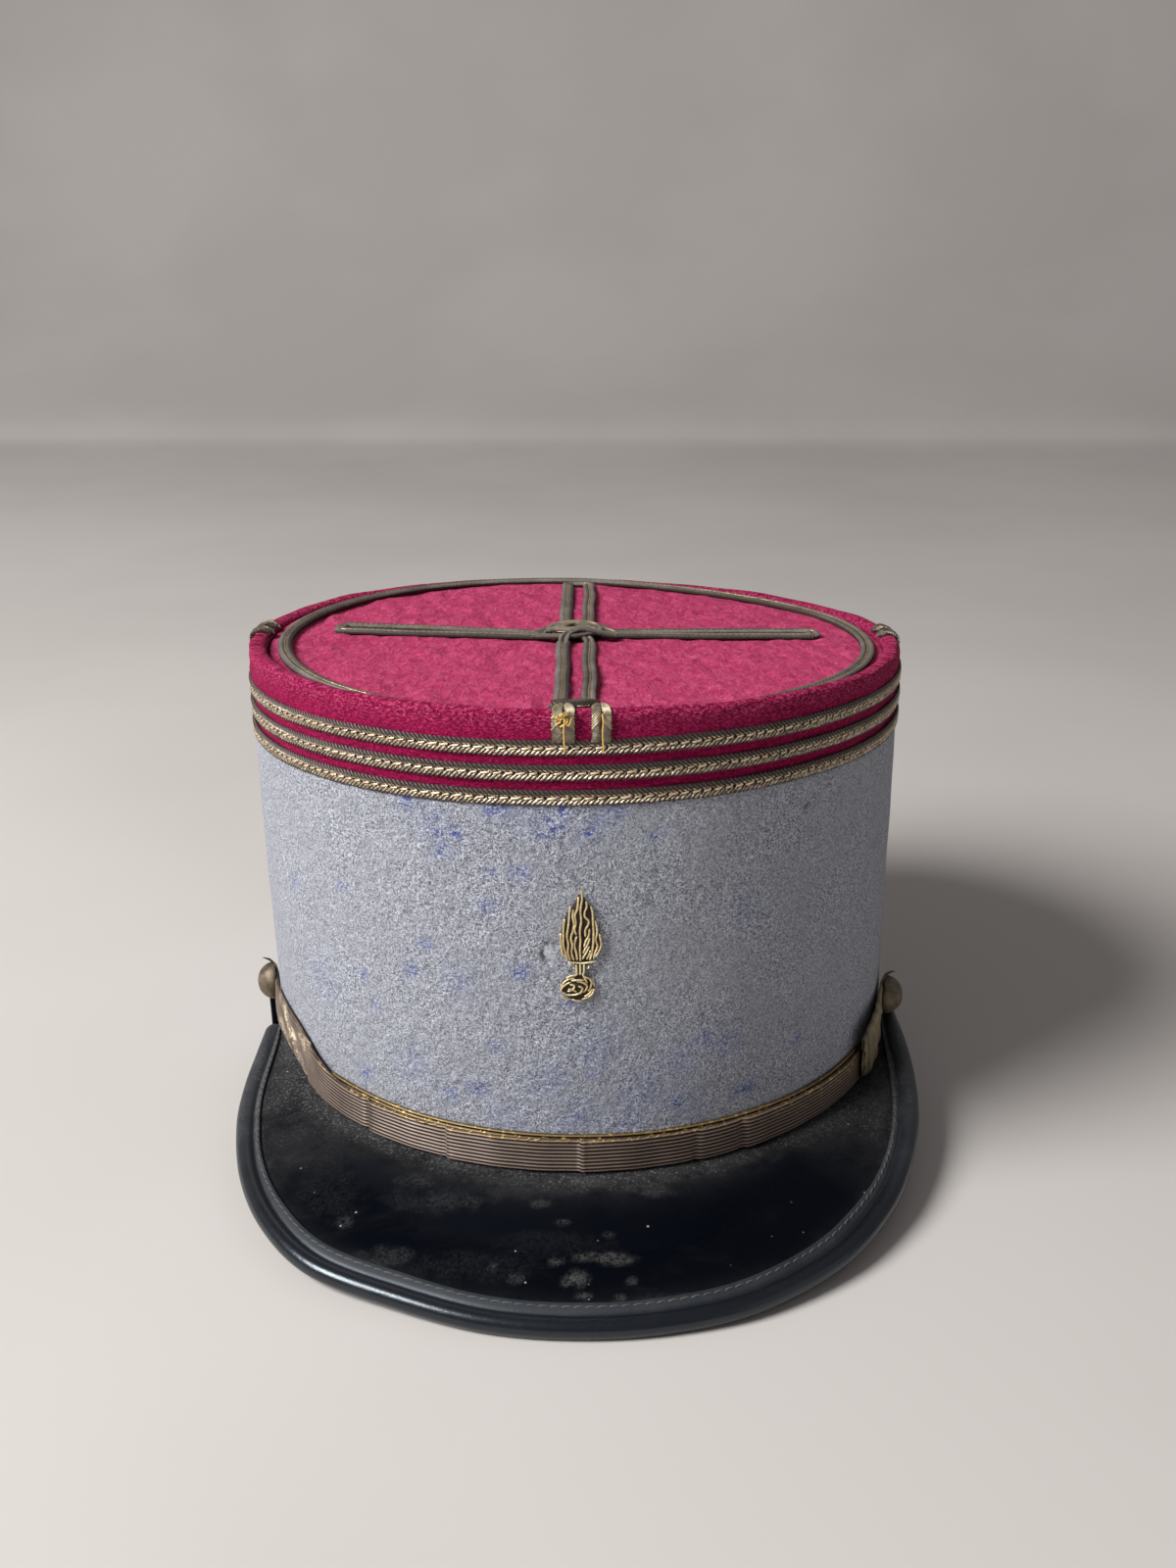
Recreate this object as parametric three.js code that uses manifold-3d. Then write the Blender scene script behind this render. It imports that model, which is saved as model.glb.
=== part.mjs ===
// An officer's kepi: grey-blue felt band, crimson crown, gold braid, peak and chin strap.
// Millimetres, +Z up. The front faces -Y, and +X is on the right of somebody who looks at the front.
// The hat stands on the table as it does by itself: on the front of its peak and the back of its band.
import * as THREE from "three";
import Module from "manifold-3d";

const wasm = await Module();
wasm.setup();

// Crown rim, seen from above, round the middle of the crown
const CROWN_HALF_WIDTH = 83;
const CROWN_HALF_LENGTH = 84.6;
const CROWN_HEIGHT = 120; // the rim above the table, over the middle of the crown
const CROWN_FALL = 0.044; // fall of the rim for each mm towards the back
const CROWN_TWIST = 0.021; // dip of the rim's back right for each mm to the right

// Brow edge, where the head goes in
const BROW_HALF_WIDTH = 85;
const BROW_HALF_LENGTH = 98.3;
const BROW_CENTRE = 12.9; // further back than the middle of the crown
const BROW_LIFT = 13.6; // front of the brow edge above the table, held up by the peak

// Walls
const FELT_THICK = 2.5;
const CLOTH_THICK = 2.6;
const TOP_THICK = 1.8;
const GAP = 0.3; // between pieces that touch
const TOP_SINK_FRONT = 4.4; // crown cloth below the rim, at the front
const TOP_SINK_BACK = 0.2;
const TOP_TWIST = 0.027; // extra sink of the cloth at the back right for each mm to the right
const TOP_SINK_EASE = 1.4; // the cloth rises quickly behind the front of the rim
const AROUND = 48; // facets round the hat

// Braid
const GALON_DROP = 6; // top edge of the top galon below the rim
const GALON_TILT = 0.0145; // rise of the galons for each mm to the right
const GALON_HIGH = 3.7;
const GALON_PITCH = 5.58;
const BRAID_THICK = 1.4;
const CLOTH_SEAM = 19; // the crimson cloth ends here below the rim, behind the bottom galon
const RING_INSET = 8.4; // middle of the crown's ring of braid from the rim's face
const STRIP_WIDE = 3.4;
const ARM_HALF_GAP = 3.2; // middle of each strip of an arm from the arm's axis
const KNOT_RADIUS = 9;
const KNOT_HIGH = 3.2;

// Peak
const BEAD_RADIUS = 2.3;
const BEAD_HEIGHT = 1.53; // outermost line of the bead above the table, at the front
const PEAK_THICK = 1.8;
const PEAK_CAMBER = 1.6;
const PEAK_RISE = 0.6; // top of the peak above the brow edge, at the front
const BEAD_CLIMB = 0.112; // rise of the bead for each mm towards the back
const BEAD_ROLL = 4.5; // the right end of the bead lies this much higher, the left end lower
const FLANGE_WIDE = 5;
const FLANGE_THICK = 0.8;

// Chin strap
const STRAP_THICK = 0.9;
const ARC_PER_RADIAN = 93; // mm along the brow edge for each radian, near the buttons
const BUTTON_RADIUS = 4.75;
const SHANK_RADIUS = 1.4;
const HOLE_RADIUS = 1.75;

const COLOURS = {
  felt: new THREE.MeshStandardMaterial({ color: 0x9ea3aa, roughness: 0.95, metalness: 0 }),
  crimson: new THREE.MeshStandardMaterial({ color: 0xa81445, roughness: 0.95, metalness: 0 }),
  braid: new THREE.MeshStandardMaterial({ color: 0x7d6a48, roughness: 0.5, metalness: 0.6 }),
  gold: new THREE.MeshStandardMaterial({ color: 0xc8a452, roughness: 0.4, metalness: 0.8 }),
  leather: new THREE.MeshStandardMaterial({ color: 0x121416, roughness: 0.25, metalness: 0 }),
  strap: new THREE.MeshStandardMaterial({ color: 0x7d6a4a, roughness: 0.5, metalness: 0.5 }),
  brass: new THREE.MeshStandardMaterial({ color: 0x7a6238, roughness: 0.45, metalness: 0.8 }),
};

const UP = new THREE.Vector3(0, 0, 1);
const radians = THREE.MathUtils.degToRad;
const lerp = THREE.MathUtils.lerp;
const smoothstep = THREE.MathUtils.smoothstep;
const hat = new THREE.Group();
const pieces = new THREE.Group();
hat.add(pieces);

function addPiece(name, geometry, material) {
  const mesh = new THREE.Mesh(geometry, material);
  mesh.name = name;
  pieces.add(mesh);
  return mesh;
}

// Closed bodies from rings of points

function signedVolume(geometry) {
  const at = geometry.getAttribute("position");
  const index = geometry.index.array;
  const [a, b, c] = [new THREE.Vector3(), new THREE.Vector3(), new THREE.Vector3()];
  let volume = 0;
  for (let i = 0; i < index.length; i += 3) {
    a.fromBufferAttribute(at, index[i]);
    b.fromBufferAttribute(at, index[i + 1]);
    c.fromBufferAttribute(at, index[i + 2]);
    volume += a.dot(b.cross(c)) / 6;
  }
  return volume;
}

function indexedGeometry(positions, faces) {
  const geometry = new THREE.BufferGeometry();
  geometry.setAttribute("position", new THREE.Float32BufferAttribute(positions, 3));
  geometry.setIndex(faces);
  if (signedVolume(geometry) < 0) {
    for (let i = 0; i < faces.length; i += 3) {
      [faces[i + 1], faces[i + 2]] = [faces[i + 2], faces[i + 1]];
    }
    geometry.setIndex(faces);
  }
  geometry.computeVertexNormals();
  return geometry;
}

// Joins closed rings of points one after the other. The last ring meets the first one,
// or else both end rings are closed by a fan round their middle.
function bodyFromRings(rings, joinsUp) {
  const count = rings[0].length;
  const points = rings.flat();
  const faces = [];
  const bands = joinsUp ? rings.length : rings.length - 1;
  for (let i = 0; i < bands; i++) {
    const here = i * count;
    const next = ((i + 1) % rings.length) * count;
    for (let j = 0; j < count; j++) {
      const k = (j + 1) % count;
      faces.push(here + j, here + k, next + k, here + j, next + k, next + j);
    }
  }
  if (!joinsUp) {
    for (const [ring, first, step] of [
      [rings[0], 0, -1],
      [rings[rings.length - 1], (rings.length - 1) * count, 1],
    ]) {
      const middle = new THREE.Vector3();
      ring.forEach((point) => middle.addScaledVector(point, 1 / count));
      const tip = points.push(middle) - 1;
      for (let j = 0; j < count; j++) {
        const k = (j + 1) % count;
        faces.push(tip, first + (step > 0 ? j : k), first + (step > 0 ? k : j));
      }
    }
  }
  return indexedGeometry(points.flatMap((point) => point.toArray()), faces);
}

function solidOf(geometry) {
  const mesh = new wasm.Mesh({
    numProp: 3,
    vertProperties: new Float32Array(geometry.getAttribute("position").array),
    triVerts: new Uint32Array(geometry.index.array),
  });
  return new wasm.Manifold(mesh);
}

function geometryOf(solid) {
  const mesh = solid.getMesh();
  return indexedGeometry(Array.from(mesh.vertProperties), Array.from(mesh.triVerts));
}

// The hat's form. Angles start at the front and grow towards +X.

function browHeight(y) {
  const front = BROW_CENTRE - BROW_HALF_LENGTH;
  return BROW_LIFT * (1 - (y - front) / (2 * BROW_HALF_LENGTH));
}

// 0 at the front of the rim, 1 at its back
function shareBack(y) {
  return (y + CROWN_HALF_LENGTH) / (2 * CROWN_HALF_LENGTH);
}

function rimHeight(x, y) {
  return CROWN_HEIGHT - CROWN_FALL * y - CROWN_TWIST * x * shareBack(y) ** 2;
}

function topHeight(x, y) {
  const front = Math.max(0, 1 - shareBack(y));
  const sink = lerp(TOP_SINK_BACK, TOP_SINK_FRONT, front ** TOP_SINK_EASE);
  return rimHeight(x, y) - sink - TOP_TWIST * Math.max(0, x) * shareBack(y) ** 2;
}

function rimPoint(angle, out) {
  const x = (CROWN_HALF_WIDTH + out) * Math.sin(angle);
  const y = -(CROWN_HALF_LENGTH + out) * Math.cos(angle);
  return new THREE.Vector3(x, y, rimHeight(x, y));
}

function browPoint(angle, out) {
  const x = (BROW_HALF_WIDTH + out) * Math.sin(angle);
  const y = BROW_CENTRE - (BROW_HALF_LENGTH + out) * Math.cos(angle);
  return new THREE.Vector3(x, y, browHeight(y));
}

// A point of the wall at a height above the table, out from its outer face
function wallPoint(angle, height, out) {
  const brow = browPoint(angle, out);
  const rim = rimPoint(angle, out);
  return brow.lerp(rim, (height - brow.z) / (rim.z - brow.z));
}

function wallBelowRim(angle, drop, out) {
  return wallPoint(angle, rimPoint(angle, out).z - drop, out);
}

function wallAboveBrow(angle, rise, out) {
  return wallPoint(angle, browPoint(angle, out).z + rise, out);
}

function angles(count) {
  return Array.from({ length: count }, (_, i) => (i / count) * 2 * Math.PI);
}

// A ring round the hat: one section at each angle
function ringRoundHat(sectionAt) {
  return bodyFromRings(angles(AROUND).map(sectionAt), true);
}

// Felt band

function feltBand() {
  return ringRoundHat((angle) => [
    browPoint(angle, 0),
    wallBelowRim(angle, CLOTH_SEAM + GAP, 0),
    wallBelowRim(angle, CLOTH_SEAM + GAP, -FELT_THICK),
    browPoint(angle, -FELT_THICK),
  ]);
}

// Crimson side, with a rolled rim that stands above the crown's cloth

const RIM_ROLL = [
  { out: 0, drop: 3.2 },
  { out: -0.4, drop: 1.2 },
  { out: -1.2, drop: 0.25 },
  { out: -2.1, drop: 0 },
  { out: -3.1, drop: 0.3 },
  { out: -4.1, drop: 1.3 },
];
const ROLL_INNER = -4.2;
const LINING_STEP = 1.4; // the wall thins to its cloth over this height, under the crown's edge

function crownSide() {
  return ringRoundHat((angle) => {
    const inner = rimPoint(angle, ROLL_INNER);
    const shelf = inner.z - topHeight(inner.x, inner.y) + TOP_THICK + GAP;
    const roll = RIM_ROLL.map(({ out, drop }) => wallBelowRim(angle, drop, out));
    return [
      wallBelowRim(angle, CLOTH_SEAM, 0),
      ...roll,
      wallBelowRim(angle, shelf, ROLL_INNER),
      wallBelowRim(angle, shelf + LINING_STEP, -CLOTH_THICK),
      wallBelowRim(angle, CLOTH_SEAM, -CLOTH_THICK),
    ];
  });
}

// Crown cloth: a thin disc whose face follows the rim

function crownTop() {
  const edge = ROLL_INNER - GAP;
  const discRing = (share, under) =>
    angles(AROUND).map((angle) => {
      const point = rimPoint(angle, edge).multiplyScalar(share);
      point.z = topHeight(point.x, point.y) - under;
      return point;
    });
  return bodyFromRings(
    [discRing(0.5, TOP_THICK), discRing(1, TOP_THICK), discRing(1, 0), discRing(0.5, 0)],
    false,
  );
}

// Braid: two cords side by side. Across runs from -1 to 1 over the width, proud from 0 to 1.
const BRAID_SECTION = [
  { across: -1, proud: 0 },
  { across: -0.82, proud: 0.8 },
  { across: -0.4, proud: 1 },
  { across: 0, proud: 0.6 },
  { across: 0.4, proud: 1 },
  { across: 0.82, proud: 0.8 },
  { across: 1, proud: 0 },
];

function galon(number) {
  const start = GALON_DROP + number * GALON_PITCH;
  return ringRoundHat((angle) =>
    BRAID_SECTION.map(({ across, proud }) => {
      const rim = rimPoint(angle, 0);
      const line = CROWN_HEIGHT - CROWN_FALL * rim.y + GALON_TILT * rim.x - start;
      const height = line - (GALON_HIGH * (across + 1)) / 2;
      return wallPoint(angle, height, GAP + proud * BRAID_THICK);
    }),
  );
}

function ringBraid() {
  return ringRoundHat((angle) =>
    BRAID_SECTION.map(({ across, proud }) => {
      const point = rimPoint(angle, -RING_INSET - (across * STRIP_WIDE) / 2);
      point.z = topHeight(point.x, point.y) + GAP + proud * BRAID_THICK;
      return point;
    }),
  );
}

// A flat braid that lies on the crown along a path of plan points
function braidOnCrown(path) {
  const rings = path.map((point, i) => {
    const before = path[Math.max(i - 1, 0)];
    const after = path[Math.min(i + 1, path.length - 1)];
    const along = new THREE.Vector2().subVectors(after, before).normalize();
    return BRAID_SECTION.map(({ across, proud }) => {
      const side = (across * STRIP_WIDE) / 2;
      const x = point.x - along.y * side;
      const y = point.y + along.x * side;
      return new THREE.Vector3(x, y, topHeight(x, y) + GAP + proud * BRAID_THICK);
    });
  });
  return bodyFromRings(rings, false);
}

// Each arm of the cross is a loop: out along one side, across its end and back
const ARMS = [
  { name: "front", turn: -90, reach: 69.5 },
  { name: "back", turn: 90, reach: 73.5 },
  { name: "left", turn: 180, reach: 64 },
  { name: "right", turn: 0, reach: 64 },
];
const ARM_TURN_STEPS = 4;

function knotArm({ turn, reach }) {
  const end = reach - STRIP_WIDE / 2 - ARM_HALF_GAP;
  const side = [KNOT_RADIUS + 1.5, reach / 2, end].map((x) => new THREE.Vector2(x, -ARM_HALF_GAP));
  const bend = [];
  for (let i = 1; i < ARM_TURN_STEPS; i++) {
    const round = Math.PI * (i / ARM_TURN_STEPS - 0.5);
    bend.push(
      new THREE.Vector2(end + ARM_HALF_GAP * Math.cos(round), ARM_HALF_GAP * Math.sin(round)),
    );
  }
  const back = side.map((point) => new THREE.Vector2(point.x, -point.y)).reverse();
  const centre = new THREE.Vector2();
  return braidOnCrown(
    [...side, ...bend, ...back].map((point) => point.rotateAround(centre, radians(turn))),
  );
}

// The woven knot: a low boss with eight lobes
const KNOT_ROWS = [
  { radius: 1, high: 0 },
  { radius: 0.98, high: 0.5 },
  { radius: 0.72, high: 1 },
  { radius: 0.3, high: 0.85 },
];
const KNOT_LOBES = 8;
const KNOT_LOBE_DEPTH = 0.08; // of the radius

function knotCentre() {
  const rings = KNOT_ROWS.map(({ radius, high }) =>
    angles(3 * KNOT_LOBES).map((angle) => {
      const lobe = 1 + KNOT_LOBE_DEPTH * Math.cos(KNOT_LOBES * angle);
      const x = KNOT_RADIUS * radius * lobe * Math.cos(angle);
      const y = KNOT_RADIUS * radius * lobe * Math.sin(angle);
      return new THREE.Vector3(x, y, topHeight(x, y) + GAP + KNOT_HIGH * high);
    }),
  );
  return bodyFromRings(rings, false);
}

// Uprights: short braids that climb the crimson side and fold over the rim

const UPRIGHT_FOLD = [
  { out: 0, drop: 3.2 },
  { out: -0.25, drop: 1.1 },
  { out: -1.1, drop: 0 },
  { out: -2.1, drop: -0.3 },
  { out: -3.2, drop: 0 },
  { out: -4.1, drop: 0.7 },
];
const UPRIGHTS = [
  { name: "front_left", turn: 0, across: -2.2, wide: 5.2, rows: 4 },
  { name: "front_right", turn: 0, across: 5.7, wide: 4.4, rows: 4 },
  { name: "back_left", turn: 180, across: 3.9, wide: 4.6, rows: 3 },
  { name: "back_right", turn: 180, across: -3.9, wide: 4.6, rows: 3 },
  { name: "left_front", turn: -90, across: 3.9, wide: 4.6, rows: 6 },
  { name: "left_back", turn: -90, across: -3.9, wide: 4.6, rows: 6 },
  { name: "right_front", turn: 90, across: -3.9, wide: 4.6, rows: 6 },
  { name: "right_back", turn: 90, across: 3.9, wide: 4.6, rows: 6 },
];
const UPRIGHT_THICK = 1.1;

function upright({ turn, across, wide, rows }) {
  const angle = radians(turn) + across / CROWN_HALF_WIDTH;
  const rim = rimPoint(angle, 0);
  const foot = CROWN_HEIGHT - CROWN_FALL * rim.y + GALON_TILT * rim.x - GALON_DROP + GAP;
  const fold = UPRIGHT_FOLD.slice(0, rows);
  const path = [wallPoint(angle, foot, 0)];
  for (const { out, drop } of fold) path.push(wallBelowRim(angle, drop, out));
  const outward = rimPoint(angle, 1).sub(rim).setZ(0).normalize();
  const sideways = new THREE.Vector3(-outward.y, outward.x, 0);
  const rings = path.map((point, i) => {
    const before = path[Math.max(i - 1, 0)];
    const after = path[Math.min(i + 1, path.length - 1)];
    const along = new THREE.Vector3().subVectors(after, before).normalize();
    const face = new THREE.Vector3().crossVectors(sideways, along);
    return BRAID_SECTION.map((corner) =>
      point
        .clone()
        .addScaledVector(sideways, (corner.across * wide) / 2)
        .addScaledVector(face, GAP + corner.proud * UPRIGHT_THICK),
    );
  });
  return bodyFromRings(rings, false);
}

// Badge: an embroidered grenade on the front of the band, its flame above its ball

const BADGE_THICK = 1.2;
const BALL_RADIUS = 4;
const BALL_HEIGHT = 60.3; // middle of the ball above the table
const BADGE_ACROSS = 0.6;
const BADGE_LEAN = -0.045; // radians, the tip towards the right
const NECK_FOOT = 4.3; // start of the neck above the middle of the ball
const FLAME_LEFT = [
  { across: -1.6, up: NECK_FOOT },
  { across: -1.6, up: 5.6 },
  { across: -3.3, up: 6 },
  { across: -4.6, up: 8.5 },
  { across: -5.2, up: 12.5 },
  { across: -4.5, up: 17 },
  { across: -3.2, up: 16.2 },
  { across: -3, up: 20 },
  { across: -1.6, up: 18.6 },
  { across: -0.9, up: 22 },
];
const FLAME_TIP = { across: 0.2, up: 23.5 };

function onBadge(geometry) {
  const place = wallPoint(BADGE_ACROSS / BROW_HALF_WIDTH, BALL_HEIGHT, GAP);
  geometry.rotateZ(BADGE_LEAN);
  geometry.rotateX(Math.PI / 2);
  geometry.translate(place.x, place.y, place.z);
  return geometry;
}

function badgeFlame() {
  const left = FLAME_LEFT.map(({ across, up }) => new THREE.Vector2(across, up));
  const right = FLAME_LEFT.map(({ across, up }) => new THREE.Vector2(-across, up)).reverse();
  const tip = new THREE.Vector2(FLAME_TIP.across, FLAME_TIP.up);
  const slab = new THREE.ExtrudeGeometry(new THREE.Shape([...left, tip, ...right]), {
    depth: BADGE_THICK,
    bevelEnabled: false,
  });
  return onBadge(slab);
}

const BALL_SIDES = 20;
const BALL_PROFILE = [
  { radius: 0, proud: 0 },
  { radius: BALL_RADIUS, proud: 0 },
  { radius: BALL_RADIUS * 0.92, proud: 0.9 },
  { radius: BALL_RADIUS * 0.6, proud: 1.5 },
  { radius: 0, proud: 1.7 },
];

function badgeBall() {
  const profile = BALL_PROFILE.map(({ radius, proud }) => new THREE.Vector2(radius, proud));
  return onBadge(new THREE.LatheGeometry(profile, BALL_SIDES).rotateX(Math.PI / 2));
}

// Peak: the outline of its bound edge from above, from the middle of the front to one end
const PEAK_EDGE = [
  { across: 0, along: -127.4 },
  { across: 20, along: -125.2 },
  { across: 40, along: -118 },
  { across: 59.5, along: -108.5 },
  { across: 72.5, along: -94.5 },
  { across: 80.8, along: -77.5 },
  { across: 85, along: -58 },
  { across: 87.3, along: -41 },
  { across: 88, along: -27 },
  { across: 87.3, along: -13 },
];
const PEAK_ENDS = [
  { side: -1, angle: radians(76), rise: 2.6 },
  { side: 1, angle: radians(71.5), rise: 8.5 },
];
const PEAK_RISE_START = radians(62);
const PEAK_STEPS = 36;
const BINDING_STEPS = 40;
const SHEET_SHARE = 0.9; // the leather sheet stops here on its way to the ends of the binding

const edgeHalf = PEAK_EDGE.map(({ across, along }) => new THREE.Vector3(across, along, 0));
const edgeOther = edgeHalf.slice(1).map((point) => new THREE.Vector3(-point.x, point.y, 0));
const peakEdge = new THREE.CatmullRomCurve3([...edgeOther.reverse(), ...edgeHalf]);

// Way runs from -1 at the left end to 1 at the right end
function peakFrame(way) {
  const end = way < 0 ? PEAK_ENDS[0] : PEAK_ENDS[1];
  const angle = way * end.angle;
  const rise = PEAK_RISE + end.rise * smoothstep(Math.abs(angle), PEAK_RISE_START, end.angle);
  const seam = wallAboveBrow(angle, rise, GAP);
  const edge = peakEdge.getPoint((way + 1) / 2);
  const back = edge.y - PEAK_EDGE[0].along;
  const reach = PEAK_EDGE[PEAK_EDGE.length - 1].along - PEAK_EDGE[0].along;
  const roll = BEAD_ROLL * (edge.x / CROWN_HALF_WIDTH) * (back / reach) ** 2;
  edge.z = BEAD_HEIGHT + BEAD_CLIMB * back + roll;
  const outward = edge.clone().sub(seam);
  const width = outward.length();
  outward.normalize();
  const tangent = peakEdge.getTangent((way + 1) / 2);
  const face = new THREE.Vector3().crossVectors(outward, tangent).normalize();
  if (face.z < 0) face.negate();
  return { seam, edge, outward, face, width };
}

const SHEET_ROWS = [0, 0.25, 0.5, 0.75, 1];

// The sheet arches less where it is narrow
function camberOver(span) {
  return PEAK_CAMBER * Math.min(1, span / 40);
}

function peakSheet() {
  const rings = [];
  for (let i = 0; i <= PEAK_STEPS; i++) {
    const { seam, outward, face, width } = peakFrame(SHEET_SHARE * ((2 * i) / PEAK_STEPS - 1));
    const span = width - BEAD_WIDE - GAP;
    const camber = camberOver(span);
    const top = SHEET_ROWS.map((row) =>
      seam
        .clone()
        .addScaledVector(outward, span * row)
        .addScaledVector(face, 4 * camber * row * (1 - row)),
    );
    // The sheet's inner end is upright, along the wall, and its outer end is square to its face
    const under = top.map((point, i) => {
      const through = UP.clone().lerp(face, SHEET_ROWS[i]).normalize();
      return point.clone().addScaledVector(through, -PEAK_THICK);
    });
    rings.push([...top, ...under.reverse()]);
  }
  return bodyFromRings(rings, false);
}

// The binding: a rolled bead with a flat flange that lies on the edge of the sheet.
// Inward is measured from the bead's outermost point, up from its middle.
const BEAD_WIDE = 2 * BEAD_RADIUS;
const BEAD_ROUND = [
  { inward: 1, up: -1 },
  { inward: 0.3, up: -0.7 },
  { inward: 0, up: 0 },
  { inward: 0.3, up: 0.7 },
  { inward: 1, up: 1 },
  { inward: 1.7, up: 0.75 },
];
const BEAD_FOOT = -0.6 * BEAD_RADIUS; // lower inner corner of the bead, beside the sheet's edge
const FLANGE_UNDER = 0.4; // the gap and a little more, where the sheet bends

function bindingSection(flange) {
  return [
    ...BEAD_ROUND.map(({ inward, up }) => ({ inward: inward * BEAD_RADIUS, up: up * BEAD_RADIUS })),
    { inward: BEAD_WIDE + flange, up: FLANGE_UNDER + FLANGE_THICK },
    { inward: BEAD_WIDE + flange, up: FLANGE_UNDER },
    { inward: BEAD_WIDE, up: FLANGE_UNDER },
    { inward: BEAD_WIDE, up: BEAD_FOOT },
  ];
}

function peakBinding() {
  const rings = [];
  for (let i = 0; i <= BINDING_STEPS; i++) {
    const { edge, outward, face, width } = peakFrame((2 * i) / BINDING_STEPS - 1);
    const span = width - BEAD_WIDE;
    const flange = Math.min(FLANGE_WIDE, 0.4 * span);
    const camber = (4 * camberOver(span) * flange) / Math.max(span, 1);
    rings.push(
      bindingSection(flange).map(({ inward, up }) => {
        const lift = (camber * Math.max(0, inward - BEAD_WIDE)) / flange;
        return edge
          .clone()
          .addScaledVector(outward, -inward)
          .addScaledVector(face, up + lift);
      }),
    );
  }
  return bodyFromRings(rings, false);
}

// Chin strap, drawn on the unrolled wall: degrees from the front, middle of the strap above
// the brow edge, half of its width, and how far out from the wall it lies
const OUTER_STRAP = [
  { degrees: -79.6, rise: 20.2, half: 1.6, out: 0 },
  { degrees: -78.6, rise: 17.6, half: 2.7, out: 0 },
  { degrees: -77.6, rise: 14.6, half: 2.7, out: 0 },
  { degrees: -74, rise: 12.6, half: 2.6, out: 0 },
  { degrees: -66, rise: 11, half: 3.4, out: 0 },
  { degrees: -57, rise: 9, half: 4.2, out: 0.2 },
  { degrees: -49, rise: 6.9, half: 4.3, out: 1.25 },
  { degrees: -42, rise: 5.9, half: 4.2, out: 1.25 },
  { degrees: -28, rise: 5.3, half: 4.1, out: 1.25 },
  { degrees: -14, rise: 5.1, half: 4.1, out: 1.25 },
  { degrees: 0, rise: 5.1, half: 4.1, out: 1.25 },
  { degrees: 14, rise: 5.1, half: 4.1, out: 1.25 },
  { degrees: 28, rise: 5.2, half: 4.1, out: 1.25 },
  { degrees: 42, rise: 5.6, half: 4.1, out: 1.25 },
  { degrees: 52, rise: 6.4, half: 4.1, out: 1.25 },
  { degrees: 60, rise: 8, half: 4.1, out: 1.25 },
];
const UNDER_STRAP = [
  { degrees: -44, rise: 6.8, half: 4, out: 0 },
  { degrees: -30, rise: 6.1, half: 4, out: 0 },
  { degrees: -15, rise: 5.9, half: 4, out: 0 },
  { degrees: 0, rise: 5.8, half: 4, out: 0 },
  { degrees: 15, rise: 5.8, half: 4, out: 0 },
  { degrees: 30, rise: 5.9, half: 4, out: 0 },
  { degrees: 45, rise: 6.3, half: 4, out: 0 },
  { degrees: 59, rise: 7.9, half: 4, out: 0 },
];
const KEEPER_TAB = [
  { degrees: 61, rise: 8.6, half: 4.6, out: 0 },
  { degrees: 65, rise: 10.8, half: 3.8, out: 0 },
  { degrees: 69, rise: 12.6, half: 2.8, out: 0 },
  { degrees: 71.6, rise: 15.2, half: 2.6, out: 0 },
  { degrees: 72.6, rise: 18, half: 2.6, out: 0 },
  { degrees: 73.2, rise: 20.6, half: 1.6, out: 0 },
];
const KEEPER_SLEEVE = [
  { degrees: 55.6, rise: 7.35, half: 5.5, out: 0 },
  { degrees: 59, rise: 8, half: 5.5, out: 0 },
  { degrees: 62.5, rise: 9, half: 5.3, out: 0 },
];

// Across and out of each corner of a strap's section, for its half width
function flatSection(half) {
  return [
    [-half, 0],
    [-half, STRAP_THICK],
    [half, STRAP_THICK],
    [half, 0],
  ];
}

function sleeveSection(half) {
  const inner = 2 * (STRAP_THICK + GAP) + GAP;
  const outer = inner + STRAP_THICK;
  const lip = half - STRAP_THICK;
  return [
    [-half, 0],
    [-half, outer],
    [half, outer],
    [half, 0],
    [lip, 0],
    [lip, inner],
    [-lip, inner],
    [-lip, 0],
  ];
}

function strapBody(rows, steps, section) {
  const flat = rows.map(
    ({ degrees, rise, half }) => new THREE.Vector3(radians(degrees) * ARC_PER_RADIAN, rise, half),
  );
  const curve = new THREE.CatmullRomCurve3(flat);
  const rings = [];
  for (let i = 0; i <= steps; i++) {
    const way = i / steps;
    const point = curve.getPoint(way);
    const along = curve.getTangent(way).setZ(0).normalize();
    const row = Math.min(Math.floor(way * (rows.length - 1)), rows.length - 2);
    const out = lerp(rows[row].out, rows[row + 1].out, way * (rows.length - 1) - row);
    rings.push(
      section(point.z).map(([across, proud]) => {
        const angle = (point.x - along.y * across) / ARC_PER_RADIAN;
        return wallAboveBrow(angle, point.y + along.x * across, GAP + out + proud);
      }),
    );
  }
  return bodyFromRings(rings, false);
}

const BUTTONS = [
  { name: "button_left", degrees: -78, rise: 15.5 },
  { name: "button_right", degrees: 72, rise: 15.6 },
];

function outwardAt(button, out) {
  return wallAboveBrow(radians(button.degrees), button.rise, out);
}

// Turns a shape made round +Y so that it stands out of the wall at a button
function atButton(object, button, out) {
  const place = outwardAt(button, out);
  const outward = outwardAt(button, out + 1).sub(place).normalize();
  object.quaternion.setFromUnitVectors(new THREE.Vector3(0, 1, 0), outward);
  object.position.copy(place);
  return object;
}

// The hole for a button's shank, from inside the wall's face to well outside the strap
const HOLE_SIDES = 12;
const HOLE_FROM = -2;
const HOLE_TO = 4;

function holedStrap(solid, button) {
  const place = atButton(new THREE.Object3D(), button, 0);
  place.updateMatrix();
  const rings = [HOLE_FROM, HOLE_TO].map((out) =>
    angles(HOLE_SIDES).map((angle) => {
      const x = HOLE_RADIUS * Math.cos(angle);
      const z = HOLE_RADIUS * Math.sin(angle);
      return new THREE.Vector3(x, out, z).applyMatrix4(place.matrix);
    }),
  );
  return solid.subtract(solidOf(bodyFromRings(rings, false)));
}

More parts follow.
